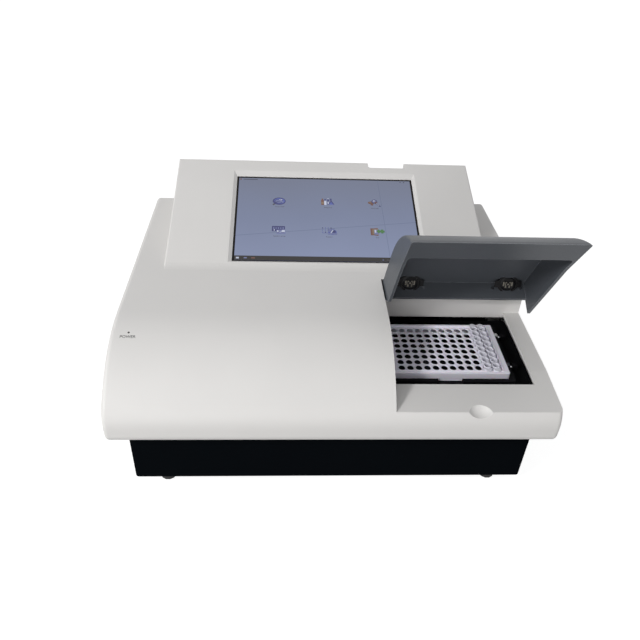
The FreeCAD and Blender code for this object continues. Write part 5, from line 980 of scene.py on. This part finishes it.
# %% Cell of the well grid
PLATE_MIDDLE = Vector((121.6, -77.5, 0.0)) * MM
PLATE_TOP = 118.45 * MM
PLATE_BOTTOM = PLATE_TOP - 14.35 * MM
WELL_PITCH = 9.0 * MM
HOLE_POINTS = 16


def square_point(angle, half):
    """The point of a square's border in a direction."""
    reach = half / max(abs(math.cos(angle)), abs(math.sin(angle)))
    return (reach * math.cos(angle), reach * math.sin(angle))


def ring(shape, middle, height, radius, square=False, stretch=1.0):
    """Points of one ring round a well: a circle, an oval, or the cell's square."""
    verts = []
    for number in range(HOLE_POINTS):
        angle = 2 * math.pi * number / HOLE_POINTS + math.pi / 4
        x, y = square_point(angle, radius) if square else (
            radius * math.cos(angle), radius * stretch * math.sin(angle))
        verts.append(shape.verts.new((middle.x + x, middle.y + y, height)))
    return verts


def join_rings(shape, first, second):
    for number in range(len(first)):
        after = (number + 1) % len(first)
        shape.faces.new((first[number], first[after], second[after], second[number]))


def add_rings(shape, middle, steps):
    """Rings joined one after the other. Each step is (height, radius), and then True for
    a square, or False and a stretch along Y for an oval."""
    rings = [ring(shape, middle, *step) for step in steps]
    for first, second in zip(rings, rings[1:]):
        join_rings(shape, first, second)
    return rings


def well_middle(column, row):
    return PLATE_MIDDLE + Vector((
        (column - 6.5) * WELL_PITCH, (4.5 - row) * WELL_PITCH, 0))


# %% Frame of the microplate
DECK_STEP = 0.8 * MM
DECK_TOP = PLATE_TOP - 2.1 * MM
DECK_BOTTOM = DECK_TOP - 1.0 * MM
BORE_RADIUS = 3.35 * MM
BORE_STRETCH = 1.17
shape = bmesh.new()
for column in range(1, 13):
    for row in range(1, 9):
        add_rings(shape, well_middle(column, row), (
            (DECK_TOP, WELL_PITCH / 2, True),
            (DECK_TOP, 4.35 * MM),
            (DECK_TOP + 0.2 * MM, 4.2 * MM),
            (DECK_TOP, 4.0 * MM),
            (DECK_BOTTOM + 0.3 * MM, BORE_RADIUS, False, BORE_STRETCH),
            (DECK_BOTTOM, BORE_RADIUS, False, BORE_STRETCH),
            (DECK_BOTTOM, WELL_PITCH / 2, True),
        ))
bmesh.ops.remove_doubles(shape, verts=shape.verts, dist=0.00001)


def oblong(shape, half_x, half_y, height, corner):
    """A closed ring of points with rounded corners, five to each."""
    verts = []
    for sx, sy, start in ((1, 1, 0.0), (-1, 1, 0.5), (-1, -1, 1.0), (1, -1, 1.5)):
        for part in range(5):
            angle = (start + part / 8) * math.pi
            verts.append(shape.verts.new((
                PLATE_MIDDLE.x + sx * (half_x - corner) + corner * math.cos(angle),
                PLATE_MIDDLE.y + sy * (half_y - corner) + corner * math.sin(angle),
                height)))
    return verts


walls = bmesh.new()
outline = [
    (54.0, 36.0, DECK_TOP, 0.01), (55.4, 37.4, DECK_TOP, 0.8),
    (55.7, 37.7, PLATE_TOP - 0.3 * MM, 0.9), (56.0, 38.0, PLATE_TOP, 1.0),
    (56.6, 38.6, PLATE_TOP, 1.2), (57.0, 39.0, PLATE_TOP - DECK_STEP, 1.2),
    (62.1, 41.0, PLATE_TOP - DECK_STEP, 1.2),
    (62.58, 41.44, PLATE_TOP - DECK_STEP - 0.5 * MM, 1.5),
    (62.7, 41.56, PLATE_BOTTOM + 2.9 * MM, 1.5), (63.6, 42.46, PLATE_BOTTOM + 2.5 * MM, 2.2),
    (63.88, 42.74, PLATE_BOTTOM + 2.2 * MM, 2.5), (63.88, 42.74, PLATE_BOTTOM, 2.5),
    (61.2, 40.06, PLATE_BOTTOM, 0.4), (61.2, 40.06, PLATE_TOP - DECK_STEP - 1.4 * MM, 0.4),
    (54.0, 36.0, DECK_BOTTOM, 0.01),
]
rings = [oblong(walls, x * MM, y * MM, z, corner * MM) for x, y, z, corner in outline]
for first, second in zip(rings, rings[1:]):
    join_rings(walls, first, second)
made = bpy.data.meshes.new("plate_walls")
walls.to_mesh(made)
walls.free()
shape.from_mesh(made)
bpy.data.meshes.remove(made)
plate_frame = make_piece("plate_frame", shape, plate_white, "carriage")
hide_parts("microplate_frame")

# %% [markdown]
# The two clear strips lie on the deck. Each well has a raised round rim, a tube that
# hangs through its hole and a flat bottom. The web between the rims is a scalloped
# sheet, with a small tab at each end to lift the strip by.

# %% Clear well strips
STRIP_TOP = PLATE_TOP + 0.75 * MM
STRIP_THICK = 0.6 * MM
TUBE_DEEP = 9.6 * MM
TUBE_WALL_BELOW = 0.7 * MM
LOBE_REACH = 37.0 * MM
LOBE_RADIUS = 4.0 * MM
for column in (11, 12):
    shape = bmesh.new()
    for row in range(1, 9):
        middle = well_middle(column, row)
        add_rings(shape, middle, (
            (STRIP_TOP - STRIP_THICK, 4.3 * MM), (STRIP_TOP + 0.3 * MM, 4.3 * MM),
            (STRIP_TOP + 0.9 * MM, 4.05 * MM), (STRIP_TOP + 0.9 * MM, 3.6 * MM),
            (STRIP_TOP - 0.1 * MM, 3.2 * MM), (STRIP_TOP - TUBE_DEEP, 2.9 * MM),
        ))
        floor_ring = ring(shape, middle, STRIP_TOP - TUBE_DEEP, 2.9 * MM)
        shape.faces.new(floor_ring)
        add_rings(shape, middle, (
            (STRIP_TOP - STRIP_THICK, 4.3 * MM), (STRIP_TOP - STRIP_THICK, 3.42 * MM),
            (STRIP_TOP - TUBE_DEEP - TUBE_WALL_BELOW, 3.2 * MM),
        ))
        base_ring = ring(shape, middle, STRIP_TOP - TUBE_DEEP - TUBE_WALL_BELOW, 3.2 * MM)
        shape.faces.new(base_ring)
    bmesh.ops.remove_doubles(shape, verts=shape.verts, dist=0.00001)
    middle = (well_middle(column, 1) + well_middle(column, 8)) / 2
    for side in (-1, 1):
        lobe = Matrix.Translation((middle.x, middle.y + side * LOBE_REACH, 0))
        add_disc(shape, LOBE_RADIUS, STRIP_TOP - STRIP_THICK, STRIP_TOP + 0.2 * MM, turn=lobe,
                 segments=28, top=3.6 * MM)
        for row in range(1, 8):
            gap = (well_middle(column, row) + well_middle(column, row + 1)) / 2
            edge = gap.x + side * 3.3 * MM
            low, high = sorted((edge, edge - side * 1.0 * MM))
            add_block(shape, (low, gap.y - 1.3 * MM, STRIP_TOP - STRIP_THICK),
                      (high, gap.y + 1.3 * MM, STRIP_TOP + 0.1 * MM))
    strip = make_piece(
        "clear_strip_%d" % column, shape, strip_clear, "carriage")
    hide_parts("well_strip_%d" % column)


# %% [markdown]
# ## Hinge cores
# Each black hinge cup holds a dish, dark bronze leaves that stand in it, and a flange
# with two ears. All are built lying flat, then turned into the cup as the lid is.

# %% Set the cores in the cups
LID_AXIS = Vector((0.0, -15.7, 155.75)) * MM
LID_OPEN = math.radians(60.3)
CUP_TILT = math.radians(52.0)
CUP_FORWARD = 12.6 * MM
CUP_BELOW = 2.5 * MM
CUP_RECESS = 1.6 * MM
HINGE_X = {"left": 87.5 * MM, "right": 197.5 * MM}


def in_cup(x):
    """From a core lying flat, facing up, to its place in an open lid's cup."""
    face = Vector((x, LID_AXIS.y - CUP_FORWARD, LID_AXIS.z - CUP_BELOW))
    outwards = Vector((0, -math.cos(CUP_TILT), -math.sin(CUP_TILT)))
    turn = Matrix((Vector((1, 0, 0)), outwards.cross(Vector((1, 0, 0))), outwards))
    closed = Matrix.Translation(face) @ turn.transposed().to_4x4()
    open_up = (Matrix.Translation(LID_AXIS) @ Matrix.Rotation(-LID_OPEN, 4, "X")
               @ Matrix.Translation(-LID_AXIS))
    return open_up @ closed @ Matrix.Translation((0, 0, -CUP_RECESS))


DISH_POINTS = 32
DISH_STEPS = (
    (8.4, 0.0), (8.4, 0.9), (7.2, 1.3), (6.6, 0.7), (2.6, 0.5), (2.3, 1.6), (0.9, 1.9))
LEAVES = ((-5.6, -3.7, 2.6), (-2.9, -1.2, 4.6), (1.2, 2.9, 4.6), (3.7, 5.6, 2.6))
EAR_REACH = 12.6 * MM
EAR_HALF = Vector((2.6, 3.8)) * MM

for side, x in HINGE_X.items():
    shape = bmesh.new()
    rings = []
    for radius, height in DISH_STEPS:
        rings.append([shape.verts.new((
            radius * MM * math.cos(2 * math.pi * number / DISH_POINTS),
            radius * MM * math.sin(2 * math.pi * number / DISH_POINTS),
            height * MM)) for number in range(DISH_POINTS)])
    for first, second in zip(rings, rings[1:]):
        join_rings(shape, first, second)
    shape.faces.new(rings[-1])
    shape.faces.new(list(reversed(rings[0])))
    bmesh.ops.transform(shape, verts=shape.verts, matrix=in_cup(x))
    make_piece("hinge_dish_" + side, shape, nylon_black, "lid")
    shape = bmesh.new()
    for low, high, reach in LEAVES:
        add_block(shape, (low * MM, -reach * MM, 0.5 * MM),
                  (high * MM, 2.6 * MM, 1.5 * MM), bevel=0.3 * MM)
    add_disc(shape, 1.3 * MM, 1.6 * MM, 2.2 * MM, segments=16, top=1.0 * MM)
    bmesh.ops.transform(shape, verts=shape.verts, matrix=in_cup(x))
    make_piece("hinge_core_" + side, shape, hinge_bronze, "lid")
    shape = bmesh.new()
    add_disc(shape, 8.6 * MM, -0.3 * MM, 0.25 * MM, segments=40)
    for ear in (-EAR_REACH, EAR_REACH):
        add_block(shape, (ear - EAR_HALF.x, -EAR_HALF.y, 0.6 * MM),
                  (ear + EAR_HALF.x, EAR_HALF.y, 1.6 * MM), bevel=0.3 * MM)
    bmesh.ops.transform(shape, verts=shape.verts, matrix=in_cup(x))
    make_piece("hinge_flange_" + side, shape, nylon_black, "lid")
